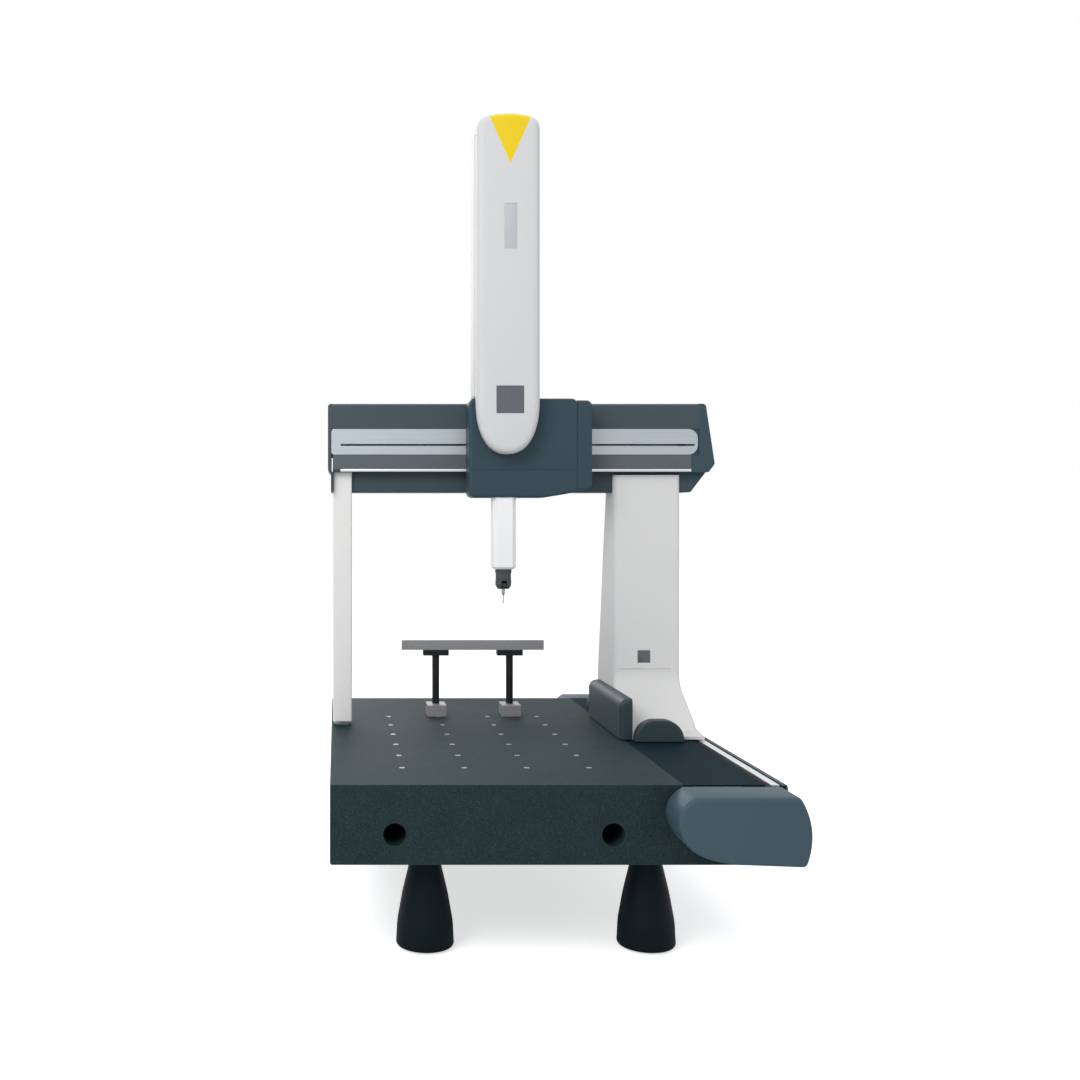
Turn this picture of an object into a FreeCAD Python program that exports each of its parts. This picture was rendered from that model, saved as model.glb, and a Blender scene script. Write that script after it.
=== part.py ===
import FreeCAD, Part

import math
import os

import Sketcher

# Moving-bridge coordinate measuring machine, in millimetres.
# +Z is up, the operator's side faces -Y, +X is to the operator's right.
# The origin lies on the floor, below the middle of the machine's outline.
# Places across and along the machine are counted from the table's left and front edges,
# and heights of what stands on the table from the table's top.

Vector = FreeCAD.Vector
doc = FreeCAD.newDocument("CoordinateMeasuringMachine")
sheet = doc.addObject("Spreadsheet::Sheet", "Sizes")

SIZES = {
    # granite table
    "table_width": 1300,
    "table_length": 1750,
    "table_thickness": 240,
    "table_height": 553,
    "table_bevel": 4,
    "rebate_left": 1064,
    "rebate_depth": 120,
    "lifting_hole_radius": 35,
    "lifting_hole_depth": 180,
    "lifting_hole_drop": 150,
    "lifting_hole_left": 195,
    "lifting_hole_spacing": 657,
    "insert_spacing": 200,
    "insert_radius": 9,
    "insert_depth": 28,
    "insert_thread_radius": 4,
    "insert_left": 230,
    "insert_front": 250,
    # feet
    "foot_left": 300,
    "foot_right": 1000,
    "foot_inset": 200,
    "foot_bottom_radius": 92,
    "foot_top_radius": 38,
    "foot_belly_radius": 470,
    "foot_floor_gap": 5,
    "foot_lip_radius": 12,
    "foot_wall": 5,
    "jack_radius": 24,
    "jack_base_radius": 60,
    "jack_base_thickness": 14,
    "pad_thickness": 12,
    # Y guide, in the rebate and beside the table
    "guide_rail_left": 1094,
    "guide_rail_width": 140,
    "guide_rail_height": 70,
    "air_gap": 0.3,
    "scale_width": 16,
    "scale_thickness": 1.5,
    "band_left": 1060,
    "band_right": 1306,
    "band_thickness": 5,
    "strip_left": 1325,
    "strip_right": 1349,
    "strip_height": 30,
    "guide_lip_left": 1358,
    "guide_top_right": 1373,
    "guide_bulge": 1392,
    "guide_bulge_drop": 110,
    "guide_bottom_right": 1379,
    "guide_bottom_drop": 207,
    "guide_wall": 4,
    "cap_length": 154,
    "cap_left": 993,
    "cap_left_drop": 100,
    "cap_top_left": 1062,
    "cap_bottom_left": 1200,
    "cap_edge_radius": 10,
    "bumper_radius": 12,
    "bumper_length": 24,
    "bumper_plate": 12,
    # toothed belt drives, shared by the three axes
    "belt_width": 14,
    "belt_thickness": 2.5,
    "pulley_radius": 20,
    "flange_height": 4,
    "flange_width": 2,
    "belt_side_gap": 1,
    "shaft_radius": 5,
    "shaft_clearance": 0.05,
    "belt_run_gap": 0.5,
    "motor_size": 70,
    "motor_length": 84,
    "z_pulley_radius": 14,
    "z_motor_size": 38,
    "z_motor_length": 40,
    "y_belt_left": 1332,
    "y_belt_drop": 120,
    "y_pulley_reach": 80,
    # air inlet at the rear of the table
    "inlet_left": 500,
    "inlet_width": 90,
    "inlet_height": 60,
    "inlet_depth": 40,
    "inlet_thread_radius": 6.5,
    "inlet_thread_depth": 22,
    "inlet_drop": 170,
    # stylus change rack
    "rack_rail_left": 287,
    "rack_rail_right": 867,
    "rack_rail_bottom": 264,
    "rack_rail_top": 303,
    "rack_rail_depth": 24,
    "rack_place": 1310,
    "rack_foot_width": 76,
    "rack_foot_front": 1246,
    "rack_foot_length": 104,
    "rack_foot_height": 45,
    "rack_post_inset": 139,
    "rack_post_radius": 14.5,
    "rack_bracket_width": 103,
    "rack_bracket_height": 22,
    "rack_bracket_depth": 46,
    # bridge: the leg's front plane stands here at rest
    "bridge_place": 1024,
    "bridge_floor_gap": 4,
    "leg_left": 1086,
    "leg_right": 1346,
    "leg_top": 969,
    "leg_lip": 14,
    "leg_depth_top": 138,
    "leg_depth_low": 266,
    "leg_low_height": 265,
    "leg_shoulder_depth": 288,
    "leg_shoulder_height": 140,
    "leg_wall": 7,
    "leg_edge_radius": 18,
    "base_front_reach": 308,
    "base_rear_reach": 456,
    "base_lip_height": 15,
    "bell_bend_height": 168,
    "bell_bend_radius": 75,
    "bell_knee_reach": 196,
    "bell_knee_height": 54,
    "bell_knee_radius": 60,
    "bell_toe_reach": 226,
    "bell_toe_height": 24,
    "groove_left": 1111,
    "groove_right": 1307,
    "groove_bottom": 211,
    "groove_height": 10,
    "groove_depth": 2.5,
    "window_left": 1181,
    "window_size": 50,
    "window_bottom": 243,
    "window_depth": 3,
    "shroud_left": 1041,
    "shroud_height": 150,
    "shroud_length": 534,
    "shroud_radius": 30,
    "shroud_wall": 3,
    "nose_left": 1087,
    "nose_right": 1261,
    "nose_height": 80,
    "nose_reach": 42,
    "nose_radius": 70,
    "column_inset": 30,
    "column_setback": 26,
    "column_depth": 98,
    "base_plate_thickness": 20,
    "base_plate_inset": 34,
    "saddle_gap": 12,
    "saddle_thickness": 24,
    "saddle_cheek": 14,
    "saddle_cheek_height": 52,
    "web_thickness": 14,
    "web_gap": 2,
    "bearing_thickness": 5,
    "bearing_length": 120,
    "slim_left": 6,
    "slim_width": 73,
    "slim_depth": 126,
    "slim_lip_top": 979,
    "slim_bearing_radius": 34,
    "slim_bearing_height": 18,
    # cross beam and its covers
    "beam_overhang": 13.5,
    "beam_reach": 1472,
    "beam_top": 1242,
    "beam_split": 985,
    "beam_bottom": 903,
    "beam_ahead": 24,
    "beam_depth": 256,
    "beam_recess": 40,
    "beam_wall": 4,
    "beam_edge_radius": 12,
    "lip_height": 12,
    "lip_reach": 5,
    "cross_left": 12,
    "cross_right_inset": 96,
    "cross_setback": 60,
    "cross_depth": 100,
    "cross_bottom": 1010,
    "cross_height": 200,
    "cross_bore_inset": 18,
    "panel_bottom": 1046,
    "panel_height": 98,
    "panel_right_inset": 66,
    "panel_radius": 36,
    "panel_proud": 2,
    "panel_thickness": 5,
    "slot_bottom": 1079,
    "slot_height": 8,
    "slot_left": 36,
    "slot_right_inset": 78,
    "seam_inset": 60,
    "lower_inset": 92,
    "end_top_inset": 35,
    "end_wide_height": 1010,
    "end_bottom_inset": 82,
    "end_radius": 14,
    "x_belt_bottom": 1120,
    "x_belt_setback": 212,
    "x_idler_left": 62,
    "x_motor_inset": 72,
    # X carriage
    "carriage_left": 516,
    "carriage_right": 921,
    "carriage_ahead": 146,
    "carriage_top": 1250,
    "carriage_bottom": 879,
    "carriage_slant_left": 797,
    "carriage_slant_right": 883,
    "carriage_slant_rise": 14,
    "carriage_corner_rise": 26,
    "carriage_wall": 4,
    "carriage_radius": 22,
    "carriage_edge_radius": 9,
    "carriage_flap": 140,
    "carriage_gap": 4,
    "seam_height": 981,
    "seam_width": 2,
    "seam_depth": 1.5,
    "wiper_width": 57,
    "wiper_setback": 8,
    "wiper_step": 6,
    "truck_left": 570,
    "truck_length": 270,
    "truck_cheek": 18,
    "truck_cheek_drop": 160,
    "truck_top": 14,
    "carriage_web": 5,
    "z_plate_left": 560,
    "z_plate_width": 206,
    "z_plate_thickness": 16,
    "z_plate_bottom": 890,
    "z_plate_top": 2236,
    # Z column cover
    "column_middle": 663,
    "column_width": 236,
    "column_ahead": 224,
    "column_cover_depth": 230,
    "column_cover_top": 2296,
    "column_top_radius": 46,
    "column_edge_radius": 33,
    "column_wall": 4,
    "tongue_start": 1235,
    "tongue_tip": 1039,
    "tongue_half_tip": 34,
    "tongue_radius": 40,
    "badge_left": 608,
    "badge_size": 100,
    "badge_bottom": 1188,
    "badge_depth": 3,
    # ram and its drive
    "ram_place": 650,
    "ram_width": 86,
    "ram_bevel": 14,
    "ram_bore": 58,
    "ram_bottom": 610,
    "ram_headroom": 256,
    "ram_end_bevel": 8,
    "ring_bottom": 1200,
    "ring_spacing": 280,
    "ring_height": 90,
    "ring_wall": 14,
    "z_scale_width": 10,
    "z_scale_length": 900,
    "cylinder_offset": 86,
    "cylinder_radius": 20,
    "cylinder_bottom": 893,
    "cylinder_floor": 6,
    "cylinder_top": 1580,
    "piston_rod_radius": 7,
    "piston_rod_lift": 457,
    "arm_thickness": 16,
    "arm_clearance": 3,
    "z_belt_offset": 80.5,
    "z_idler_height": 1310,
    "z_motor_height": 2196,
    # probe head
    "collar_radius": 31,
    "collar_height": 12,
    "head_radius": 29,
    "head_height": 26,
    "rotor_radius": 30,
    "rotor_height": 37,
    "rotor_gap": 0.3,
    "knuckle_radius": 14,
    "knuckle_drop": 60,
    "knuckle_width": 20,
    "knuckle_clearance": 0.5,
    "rotor_slot_rise": 16.5,
    "knuckle_pin_radius": 6,
    "probe_radius": 6.5,
    "probe_length": 24,
    "probe_start": 15,
    "stylus_radius": 1.5,
    "stylus_length": 27.5,
    "ball_radius": 2.5,
}


def write_sizes(sizes):
    """Give every driving dimension a named cell of its own."""
    for row, (name, value) in enumerate(sizes.items(), start=1):
        sheet.set(f"A{row}", name)
        sheet.set(f"B{row}", str(value))
        sheet.setAlias(f"B{row}", name)
    doc.recompute()


class Length:
    """A number of millimetres, kept with the sheet expression that gives it."""

    def __init__(self, number, text):
        self.number = float(number)
        self.text = text

    def __float__(self):
        return self.number

    def __neg__(self):
        return Length(-self.number, f"(-{self.text})")

    def __add__(self, other):
        other = as_length(other)
        return Length(self.number + other.number, f"({self.text} + {other.text})")

    def __sub__(self, other):
        other = as_length(other)
        return Length(self.number - other.number, f"({self.text} - {other.text})")

    def __mul__(self, factor):
        factor = as_length(factor)
        return Length(self.number * factor.number, f"({self.text} * {factor.text})")

    def __truediv__(self, divisor):
        divisor = as_length(divisor)
        return Length(self.number / divisor.number, f"({self.text} / {divisor.text})")


def as_length(value):
    """Take a plain number as a length too."""
    if isinstance(value, Length):
        return value
    return Length(value, f"({float(value)})")


class Sizes:
    """The sheet's cells, read by name."""

    def __getattr__(self, name):
        return Length(sheet.get(name), f"Sizes.{name}")


write_sizes(SIZES)
size = Sizes()

# ---------------------------------------------------------------- places

table_left = (size.beam_overhang - size.beam_reach) / 2
table_front = -size.table_length / 2
table_top = size.table_height
table_rear = table_front + size.table_length
table_bottom = table_top - size.table_thickness
bridge_front = table_front + size.bridge_place


def across(place):
    """X of a place counted from the table's left edge."""
    return table_left + place


def along(place):
    """Y of a place counted from the table's front edge."""
    return table_front + place


def above(height):
    """Z of a height counted from the table's top."""
    return table_top + height


# ---------------------------------------------------------------- helpers

parts = []


def part(name, piece):
    """Name a finished sub-part."""
    piece.Label = name
    parts.append(piece)
    return piece


def bind(target, prop, value):
    """Drive a property by the sheet."""
    target.setExpression(prop, as_length(value).text)


def place(piece, *position):
    """Drive where a piece stands."""
    for axis, value in zip("xyz", position):
        bind(piece, "Placement.Base." + axis, value)


def block(name, x_range, y_range, z_range):
    """A box between two limits along each axis."""
    piece = doc.addObject("Part::Box", name)
    for prop, (low, high) in zip(("Length", "Width", "Height"), (x_range, y_range, z_range)):
        bind(piece, prop, as_length(high) - low)
    place(piece, x_range[0], y_range[0], z_range[0])
    return piece


TURN_TO = {
    "X": FreeCAD.Rotation(Vector(0, 1, 0), 90),
    "Y": FreeCAD.Rotation(Vector(1, 0, 0), -90),
    "Z": FreeCAD.Rotation(),
}


def rod(name, axis, start, radius, length):
    """A cylinder along an axis from the middle of its first end."""
    piece = doc.addObject("Part::Cylinder", name)
    piece.Placement = FreeCAD.Placement(Vector(), TURN_TO[axis])
    bind(piece, "Radius", radius)
    bind(piece, "Height", length)
    place(piece, *start)
    return piece


def fused(name, *pieces):
    """One solid made of several."""
    piece = doc.addObject("Part::MultiFuse", name)
    piece.Shapes = list(pieces)
    return piece


def grouped(name, *pieces):
    """Separate solids kept in one sub-part."""
    piece = doc.addObject("Part::Compound", name)
    piece.Links = list(pieces)
    return piece


def cut(name, base, *tools):
    """A solid with others taken away."""
    piece = doc.addObject("Part::Cut", name)
    piece.Base = base
    piece.Tool = tools[0] if len(tools) == 1 else fused(name + "Tools", *tools)
    return piece


# Each plane's sketch runs along the first two axes; its normal is the third, times the sign.
PLANES = {"XY": 1, "XZ": -1, "YZ": 1}


def corner_arc(before, corner, after, radius):
    """The arc that rounds a corner, its two ends and whether it turns left."""
    to_before = (before - corner).normalize()
    to_after = (after - corner).normalize()
    half = to_before.getAngle(to_after) / 2
    first = corner + to_before * (radius / math.tan(half))
    last = corner + to_after * (radius / math.tan(half))
    centre = corner + (to_before + to_after).normalize() * (radius / math.sin(half))
    left_turn = (to_after.cross(to_before)).z > 0
    start, end = (first, last) if left_turn else (last, first)
    angles = [math.atan2(point.y - centre.y, point.x - centre.x) for point in (start, end)]
    circle = Part.Circle(centre, Vector(0, 0, 1), radius)
    return Part.ArcOfCircle(circle, *angles), first, last, left_turn


def pin_point(sketch, geometry, end, corner):
    """Drive one point of a sketch by the sheet."""
    for kind, value in zip(("DistanceX", "DistanceY"), corner):
        value = as_length(value)
        index = sketch.addConstraint(Sketcher.Constraint(kind, -1, 1, geometry, end, value.number))
        sketch.setExpression(f"Constraints[{index}]", value.text)


def attach(body, sketch, plane, offset):
    """Lay a sketch parallel to one of its body's own planes."""
    origin_planes = [item for item in body.Origin.OriginFeatures if item.Role == plane + "_Plane"]
    sketch.AttachmentSupport = [(origin_planes[0], "")]
    sketch.MapMode = "FlatFace"
    bind(sketch, "AttachmentOffset.Base.z", as_length(offset) * PLANES[plane])


def draw(body, name, plane, offset, outline):
    """Sketch a closed outline of corners (first, second) or (first, second, rounding radius)."""
    sketch = body.newObject("Sketcher::SketchObject", name)
    attach(body, sketch, plane, offset)
    corners = [Vector(float(corner[0]), float(corner[1]), 0) for corner in outline]
    count = len(corners)
    arcs = {}
    starts = list(corners)
    ends = corners[1:] + corners[:1]
    for index, corner in enumerate(outline):
        if len(corner) == 3:
            neighbours = corners[index - 1], corners[index], corners[(index + 1) % count]
            arc, first, last, left_turn = corner_arc(*neighbours, float(corner[2]))
            arcs[index] = arc, left_turn
            ends[index - 1] = first
            starts[index] = last
    for start, end in zip(starts, ends):
        sketch.addGeometry(Part.LineSegment(start, end), False)
    for index, corner in enumerate(outline):
        line_before = (index - 1) % count
        if index not in arcs:
            sketch.addConstraint(Sketcher.Constraint("Coincident", line_before, 2, index, 1))
            pin_point(sketch, index, 1, corner)
            continue
        arc, left_turn = arcs[index]
        arc_id = sketch.addGeometry(arc, False)
        point_id = sketch.addGeometry(Part.Point(corners[index]), True)
        arc_first, arc_last = (1, 2) if left_turn else (2, 1)
        sketch.addConstraint(Sketcher.Constraint("Tangent", line_before, 2, arc_id, arc_first))
        sketch.addConstraint(Sketcher.Constraint("Tangent", arc_id, arc_last, index, 1))
        sketch.addConstraint(Sketcher.Constraint("PointOnObject", point_id, 1, line_before))
        sketch.addConstraint(Sketcher.Constraint("PointOnObject", point_id, 1, index))
        pin_point(sketch, point_id, 1, corner)
        radius = as_length(corner[2])
        radius_id = sketch.addConstraint(Sketcher.Constraint("Radius", arc_id, radius.number))
        sketch.setExpression(f"Constraints[{radius_id}]", radius.text)
    return sketch


def draw_circles(body, name, plane, offset, centres, radius):
    """Sketch equal circles."""
    sketch = body.newObject("Sketcher::SketchObject", name)
    attach(body, sketch, plane, offset)
    radius = as_length(radius)
    for centre in centres:
        middle = Vector(float(centre[0]), float(centre[1]), 0)
        circle = sketch.addGeometry(Part.Circle(middle, Vector(0, 0, 1), radius.number), False)
        pin_point(sketch, circle, 3, centre)
        radius_id = sketch.addConstraint(Sketcher.Constraint("Radius", circle, radius.number))
        sketch.setExpression(f"Constraints[{radius_id}]", radius.text)
    return sketch


def pad(body, sketch, length):
    """Give a sketch thickness along its plane's normal."""
    feature = body.newObject("PartDesign::Pad", sketch.Name + "Pad")
    feature.Profile = sketch
    bind(feature, "Length", length)
    sketch.Visibility = False
    return feature


def pocket(body, sketch, depth):
    """Cut a sketch into its body, against its plane's normal."""
    doc.recompute()
    volume_before = body.Shape.Volume
    feature = body.newObject("PartDesign::Pocket", sketch.Name + "Pocket")
    feature.Profile = sketch
    bind(feature, "Length", depth)
    doc.recompute()
    if not body.Shape.Volume < volume_before:
        raise ValueError(f"{feature.Name} takes nothing away")
    return feature


def prism(name, plane, outline, low, high):
    """A body of one outline between two limits along the plane's normal."""
    body = doc.addObject("PartDesign::Body", name)
    start = low if PLANES[plane] > 0 else high
    sketch = draw(body, name + "Outline", plane, start, outline)
    pad(body, sketch, as_length(high) - low)
    return body


def hollow(body, name, plane, outline, low, high):
    """Take an outline out of a body between two limits."""
    start = high if PLANES[plane] > 0 else low
    sketch = draw(body, name, plane, start, outline)
    pocket(body, sketch, as_length(high) - low)


def turned(name, outline, start, axis="Z"):
    """A body turned about an axis: outline corners are (radius, place along the axis)."""
    body = doc.addObject("PartDesign::Body", name)
    sketch = draw(body, name + "Outline", "XZ", 0, outline)
    feature = body.newObject("PartDesign::Revolution", name + "Revolution")
    feature.Profile = sketch
    feature.ReferenceAxis = (sketch, ["V_Axis"])
    feature.Angle = 360
    body.Placement = FreeCAD.Placement(Vector(), TURN_TO[axis])
    place(body, *start)
    return body


def round_edges(body, radius, wanted, kind="Fillet"):
    """Round, or bevel, the edges of a body that a test picks by their middle and direction."""
    doc.recompute()
    base = body.Tip
    names = []
    for index, edge in enumerate(base.Shape.Edges, start=1):
        middle = edge.valueAt((edge.FirstParameter + edge.LastParameter) / 2)
        if wanted(edge, middle):
            names.append(f"Edge{index}")
    feature = body.newObject("PartDesign::" + kind, f"{body.Name}{kind}")
    feature.Base = (base, names)
    bind(feature, "Radius" if kind == "Fillet" else "Size", radius)
    return feature


def at(value, target):
    """Whether two numbers are the same place."""
    return abs(value - float(target)) < 0.01


def vertical(edge):
    """Whether an edge is straight and upright."""
    return edge.Curve.TypeId == "Part::GeomLine" and at(abs(edge.Curve.Direction.z), 1)

# ---------------------------------------------------------------- granite table

rebate_floor = table_top - size.rebate_depth
table_right = across(size.table_width)
lifting_height = table_top - size.lifting_hole_drop
lifting_holes = [
    (across(size.lifting_hole_left), lifting_height),
    (across(size.lifting_hole_left + size.lifting_hole_spacing), lifting_height),
]
INSERT_COLUMNS = 4
INSERT_ROWS = 6
insert_places = [
    (
        across(size.insert_left + size.insert_spacing * column),
        along(size.insert_front + size.insert_spacing * row),
    )
    for row in range(INSERT_ROWS)
    for column in range(INSERT_COLUMNS)
]


def make_granite_table():
    """Slab with a stepped rebate for the Y guide, lifting-bar sockets and insert pockets."""
    outline = [
        (table_left, table_bottom),
        (table_right, table_bottom),
        (table_right, rebate_floor),
        (across(size.rebate_left), rebate_floor),
        (across(size.rebate_left), table_top - size.band_thickness),
        (across(size.band_left), table_top - size.band_thickness),
        (across(size.band_left), table_top),
        (table_left, table_top),
    ]
    table = prism("GraniteTable", "XZ", outline, table_front, table_rear)
    front_sockets = draw_circles(
        table, "FrontSockets", "XZ", table_front, lifting_holes, size.lifting_hole_radius
    )
    pocket(table, front_sockets, size.lifting_hole_depth)
    rear_sockets = draw_circles(
        table, "RearSockets", "XZ", table_rear - size.lifting_hole_depth, lifting_holes, size.lifting_hole_radius
    )
    pocket(table, rear_sockets, size.lifting_hole_depth)
    pockets = draw_circles(table, "InsertPockets", "XY", table_top, insert_places, size.insert_radius)
    pocket(table, pockets, size.insert_depth)
    round_edges(
        table,
        size.table_bevel,
        lambda edge, middle: at(middle.x, table_left) and edge.Length > float(size.table_thickness) - 1,
        "Chamfer",
    )
    part("granite_table", table)


def make_threaded_inserts():
    """Steel bushes glued flush into the table's top, each with a blind threaded hole."""
    bushes = []
    for number, (x, y) in enumerate(insert_places, start=1):
        outline = [
            (0, -size.insert_depth),
            (size.insert_radius, -size.insert_depth),
            (size.insert_radius, 0),
            (size.insert_thread_radius, 0),
            (size.insert_thread_radius, -size.insert_depth * 0.8),
            (0, -size.insert_depth * 0.8),
        ]
        bushes.append(turned(f"Insert{number}", outline, (x, y, table_top)))
    part("threaded_inserts", grouped("ThreadedInserts", *bushes))


# ---------------------------------------------------------------- feet

foot_rear = size.table_length - size.foot_inset
foot_places = [
    (across(x), along(y)) for x in (size.foot_left, size.foot_right) for y in (size.foot_inset, foot_rear)
]


def make_foot_covers():
    """Moulded ogive shells round the levelling jacks: wide at the floor, narrow at the table."""
    covers = []
    bottom = size.foot_floor_gap
    inner_radius = size.jack_base_radius + size.foot_wall
    for number, (x, y) in enumerate(foot_places, start=1):
        half_way = table_bottom * 0.55
        outline = [
            (inner_radius, bottom),
            (size.foot_bottom_radius, bottom, size.foot_lip_radius),
            (size.foot_bottom_radius - 4, table_bottom * 0.26, size.foot_belly_radius * 0.5),
            (size.foot_bottom_radius * 0.78, half_way, size.foot_belly_radius),
            (size.foot_top_radius, table_bottom),
            (size.jack_radius + 2, table_bottom),
            (size.jack_radius + 2, table_bottom - 20),
            (inner_radius * 0.72, half_way * 0.9),
        ]
        covers.append(turned(f"FootCover{number}", outline, (x, y, 0)))
    part("foot_covers", grouped("FootCovers", *covers))


def make_levelling_jacks():
    """Threaded posts on broad bases that carry the table."""
    jacks = []
    base_top = size.pad_thickness + size.jack_base_thickness
    for number, (x, y) in enumerate(foot_places, start=1):
        outline = [
            (0, size.pad_thickness),
            (size.jack_base_radius, size.pad_thickness),
            (size.jack_base_radius, base_top),
            (size.jack_radius, base_top + size.jack_base_thickness),
            (size.jack_radius, table_bottom),
            (0, table_bottom),
        ]
        jacks.append(turned(f"Jack{number}", outline, (x, y, 0)))
    part("levelling_jacks", grouped("LevellingJacks", *jacks))


def make_foot_pads():
    """Rubber discs on the floor under the jacks."""
    pads = [
        rod(f"Pad{number}", "Z", (x, y, 0), size.jack_base_radius, size.pad_thickness)
        for number, (x, y) in enumerate(foot_places, start=1)
    ]
    part("foot_pads", grouped("FootPads", *pads))


# ---------------------------------------------------------------- Y guide

rail_left = across(size.guide_rail_left)
rail_right = rail_left + size.guide_rail_width
rail_top = rebate_floor + size.guide_rail_height
strip_range = (across(size.strip_left), across(size.strip_right))
strip_bottom = table_top - size.strip_height
ledge_bottom = strip_bottom - size.guide_wall
guide_bottom = table_top - size.guide_bottom_drop


def make_y_guide_rail():
    """Ground rail that the bridge saddle straddles, with an end plate for each bumper."""
    rail = block("YRail", (rail_left, rail_right), (table_front, table_rear), (rebate_floor, rail_top))
    plate_top = table_top - size.band_thickness
    plates = [
        block(f"YRailEnd{number}", (rail_left, rail_right), y_range, (rebate_floor, plate_top))
        for number, y_range in enumerate(
            [(table_front, table_front + size.bumper_plate), (table_rear - size.bumper_plate, table_rear)], start=1
        )
    ]
    part("y_guide_rail", fused("YGuideRail", rail, *plates))


def make_y_bumpers():
    """Rubber buffers on the rail's end plates."""
    middle = (rail_left + rail_right) / 2
    height = rail_top + size.bumper_radius
    front = rod(
        "FrontBumper", "Y", (middle, table_front + size.bumper_plate, height), size.bumper_radius, size.bumper_length
    )
    rear_start = table_rear - size.bumper_plate - size.bumper_length
    rear = rod("RearBumper", "Y", (middle, rear_start, height), size.bumper_radius, size.bumper_length)
    part("y_bumpers", grouped("YBumpers", front, rear))


def make_y_scale():
    """Measuring tape along the rail's outer side, below the saddle's cheek."""
    tape = block(
        "YScale",
        (rail_right, rail_right + size.scale_thickness),
        (table_front + size.bumper_plate, table_rear - size.bumper_plate),
        (rebate_floor, rebate_floor + size.scale_width),
    )
    part("y_scale", tape)


def guide_side(inset):
    """Bulged outer side of the guide cover, from its top down, moved in by an inset."""
    return [
        (across(size.guide_top_right) - inset, table_top - inset, 3),
        (across(size.guide_bulge) - inset, table_top - size.guide_bulge_drop, 150),
        (across(size.guide_bottom_right) - inset, guide_bottom + inset, 12),
    ]


def make_guide_cover():
    """Open profile beside the table: bulged side, ledge for the bright strip, foot flange."""
    wall = size.guide_wall
    inner_top, inner_bulge, inner_bottom = guide_side(wall)
    outline = [
        (across(size.guide_lip_left), table_top),
        *guide_side(0),
        (table_right, guide_bottom),
        (table_right, guide_bottom + wall * 6),
        (table_right + wall, guide_bottom + wall * 6),
        (table_right + wall, guide_bottom + wall),
        (inner_bottom[0], inner_bottom[1]),
        (inner_bulge[0], inner_bulge[1], inner_bulge[2]),
        (inner_top[0] + 4, ledge_bottom),
        (strip_range[0], ledge_bottom),
        (strip_range[0], strip_bottom),
        (inner_top[0] + 3, strip_bottom),
        (inner_top[0], inner_top[1]),
        (across(size.guide_lip_left), table_top - wall),
    ]
    part("guide_cover", prism("GuideCover", "XZ", outline, table_front, table_rear))


def make_guide_edge_strip():
    """Bright strip along the outer edge of the slot that the bridge's web runs in."""
    part(
        "guide_edge_strip",
        block("GuideEdgeStrip", strip_range, (table_front, table_rear), (strip_bottom, table_top)),
    )


def make_guide_cover_band():
    """Dark flat band over the guide, flush with the table's top."""
    band = block(
        "GuideCoverBand",
        (across(size.band_left), across(size.band_right)),
        (table_front, table_rear),
        (table_top - size.band_thickness, table_top),
    )
    part("guide_cover_band", band)


def make_guide_cap(name, label, table_end, free_end):
    """Moulded shell that closes one end of the guide and wraps the table's corner."""
    wall = size.guide_wall
    left_drop = table_top - size.cap_left_drop
    top, bulge, bottom = guide_side(0)
    outline = [
        (across(size.cap_top_left), table_top, 10),
        (across(size.cap_left), left_drop, 26),
        (across(size.cap_bottom_left), guide_bottom + 10, 150),
        bottom,
        bulge,
        (top[0], top[1], 6),
    ]
    inner_top, inner_bulge, inner_bottom = guide_side(wall)
    hollow_outline = [
        (across(size.cap_top_left) + wall, table_top - wall),
        (across(size.cap_left) + wall * 1.5, left_drop),
        (across(size.cap_bottom_left), guide_bottom + 10 + wall * 1.5),
        (inner_bottom[0] - 4, inner_bottom[1] + 4),
        (inner_bulge[0] - 2, inner_bulge[1]),
        (inner_top[0], inner_top[1]),
    ]
    if float(free_end) < float(table_end):
        cap = prism(name, "XZ", outline, free_end, table_end)
        inside = (free_end + wall, table_end)
    else:
        cap = prism(name, "XZ", outline, table_end, free_end)
        inside = (table_end, free_end - wall)
    round_edges(cap, size.cap_edge_radius, lambda edge, middle: at(middle.y, free_end))
    hollow(cap, name + "Inside", "XZ", hollow_outline, *inside)
    part(label, cap)

# ---------------------------------------------------------------- Y drive

y_belt_left = across(size.y_belt_left)
y_belt_height = table_top - size.y_belt_drop
y_idler_place = table_front - size.y_pulley_reach
y_pulley_place = table_rear + size.y_pulley_reach
belt_outer = size.pulley_radius + size.belt_run_gap + size.belt_thickness


def stadium(name, axis, first, last, radius):
    """Solid, as thick as the belt's width, round two pulley centres on one level or one upright."""
    ends = [
        rod(f"{name}End{number}", axis, centre, radius, size.belt_width)
        for number, centre in enumerate((first, last), start=1)
    ]
    spans = []
    for letter, start, end in zip("XYZ", first, last):
        if letter == axis:
            spans.append((start, start + size.belt_width))
        elif float(start) == float(end):
            spans.append((start - radius, start + radius))
        else:
            spans.append((start, end))
    return fused(name, *ends, block(name + "Runs", *spans))


def make_belt(name, label, axis, first, last, radius):
    """Toothed belt as a closed loop round two pulleys."""
    inner = radius + size.belt_run_gap
    loop = stadium(name + "Outer", axis, first, last, inner + size.belt_thickness)
    part(label, cut(name, loop, stadium(name + "Inner", axis, first, last, inner)))


def make_pulley(name, label, axis, start, radius):
    """Flanged pulley with a running bore, as long as the belt's width and two flanges."""
    bore = size.shaft_radius + size.shaft_clearance
    rim = radius + size.flange_height
    belt_space = size.belt_width + size.belt_side_gap * 2
    flange = size.flange_width
    outline = [
        (bore, 0),
        (rim, 0),
        (rim, flange),
        (radius, flange),
        (radius, flange + belt_space),
        (rim, flange + belt_space),
        (rim, flange * 2 + belt_space),
        (bore, flange * 2 + belt_space),
    ]
    part(label, turned(name, outline, start, axis))


pulley_before_belt = size.flange_width + size.belt_side_gap
pulley_length = size.belt_width + pulley_before_belt * 2
shaft_run = pulley_length + size.belt_side_gap


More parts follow.
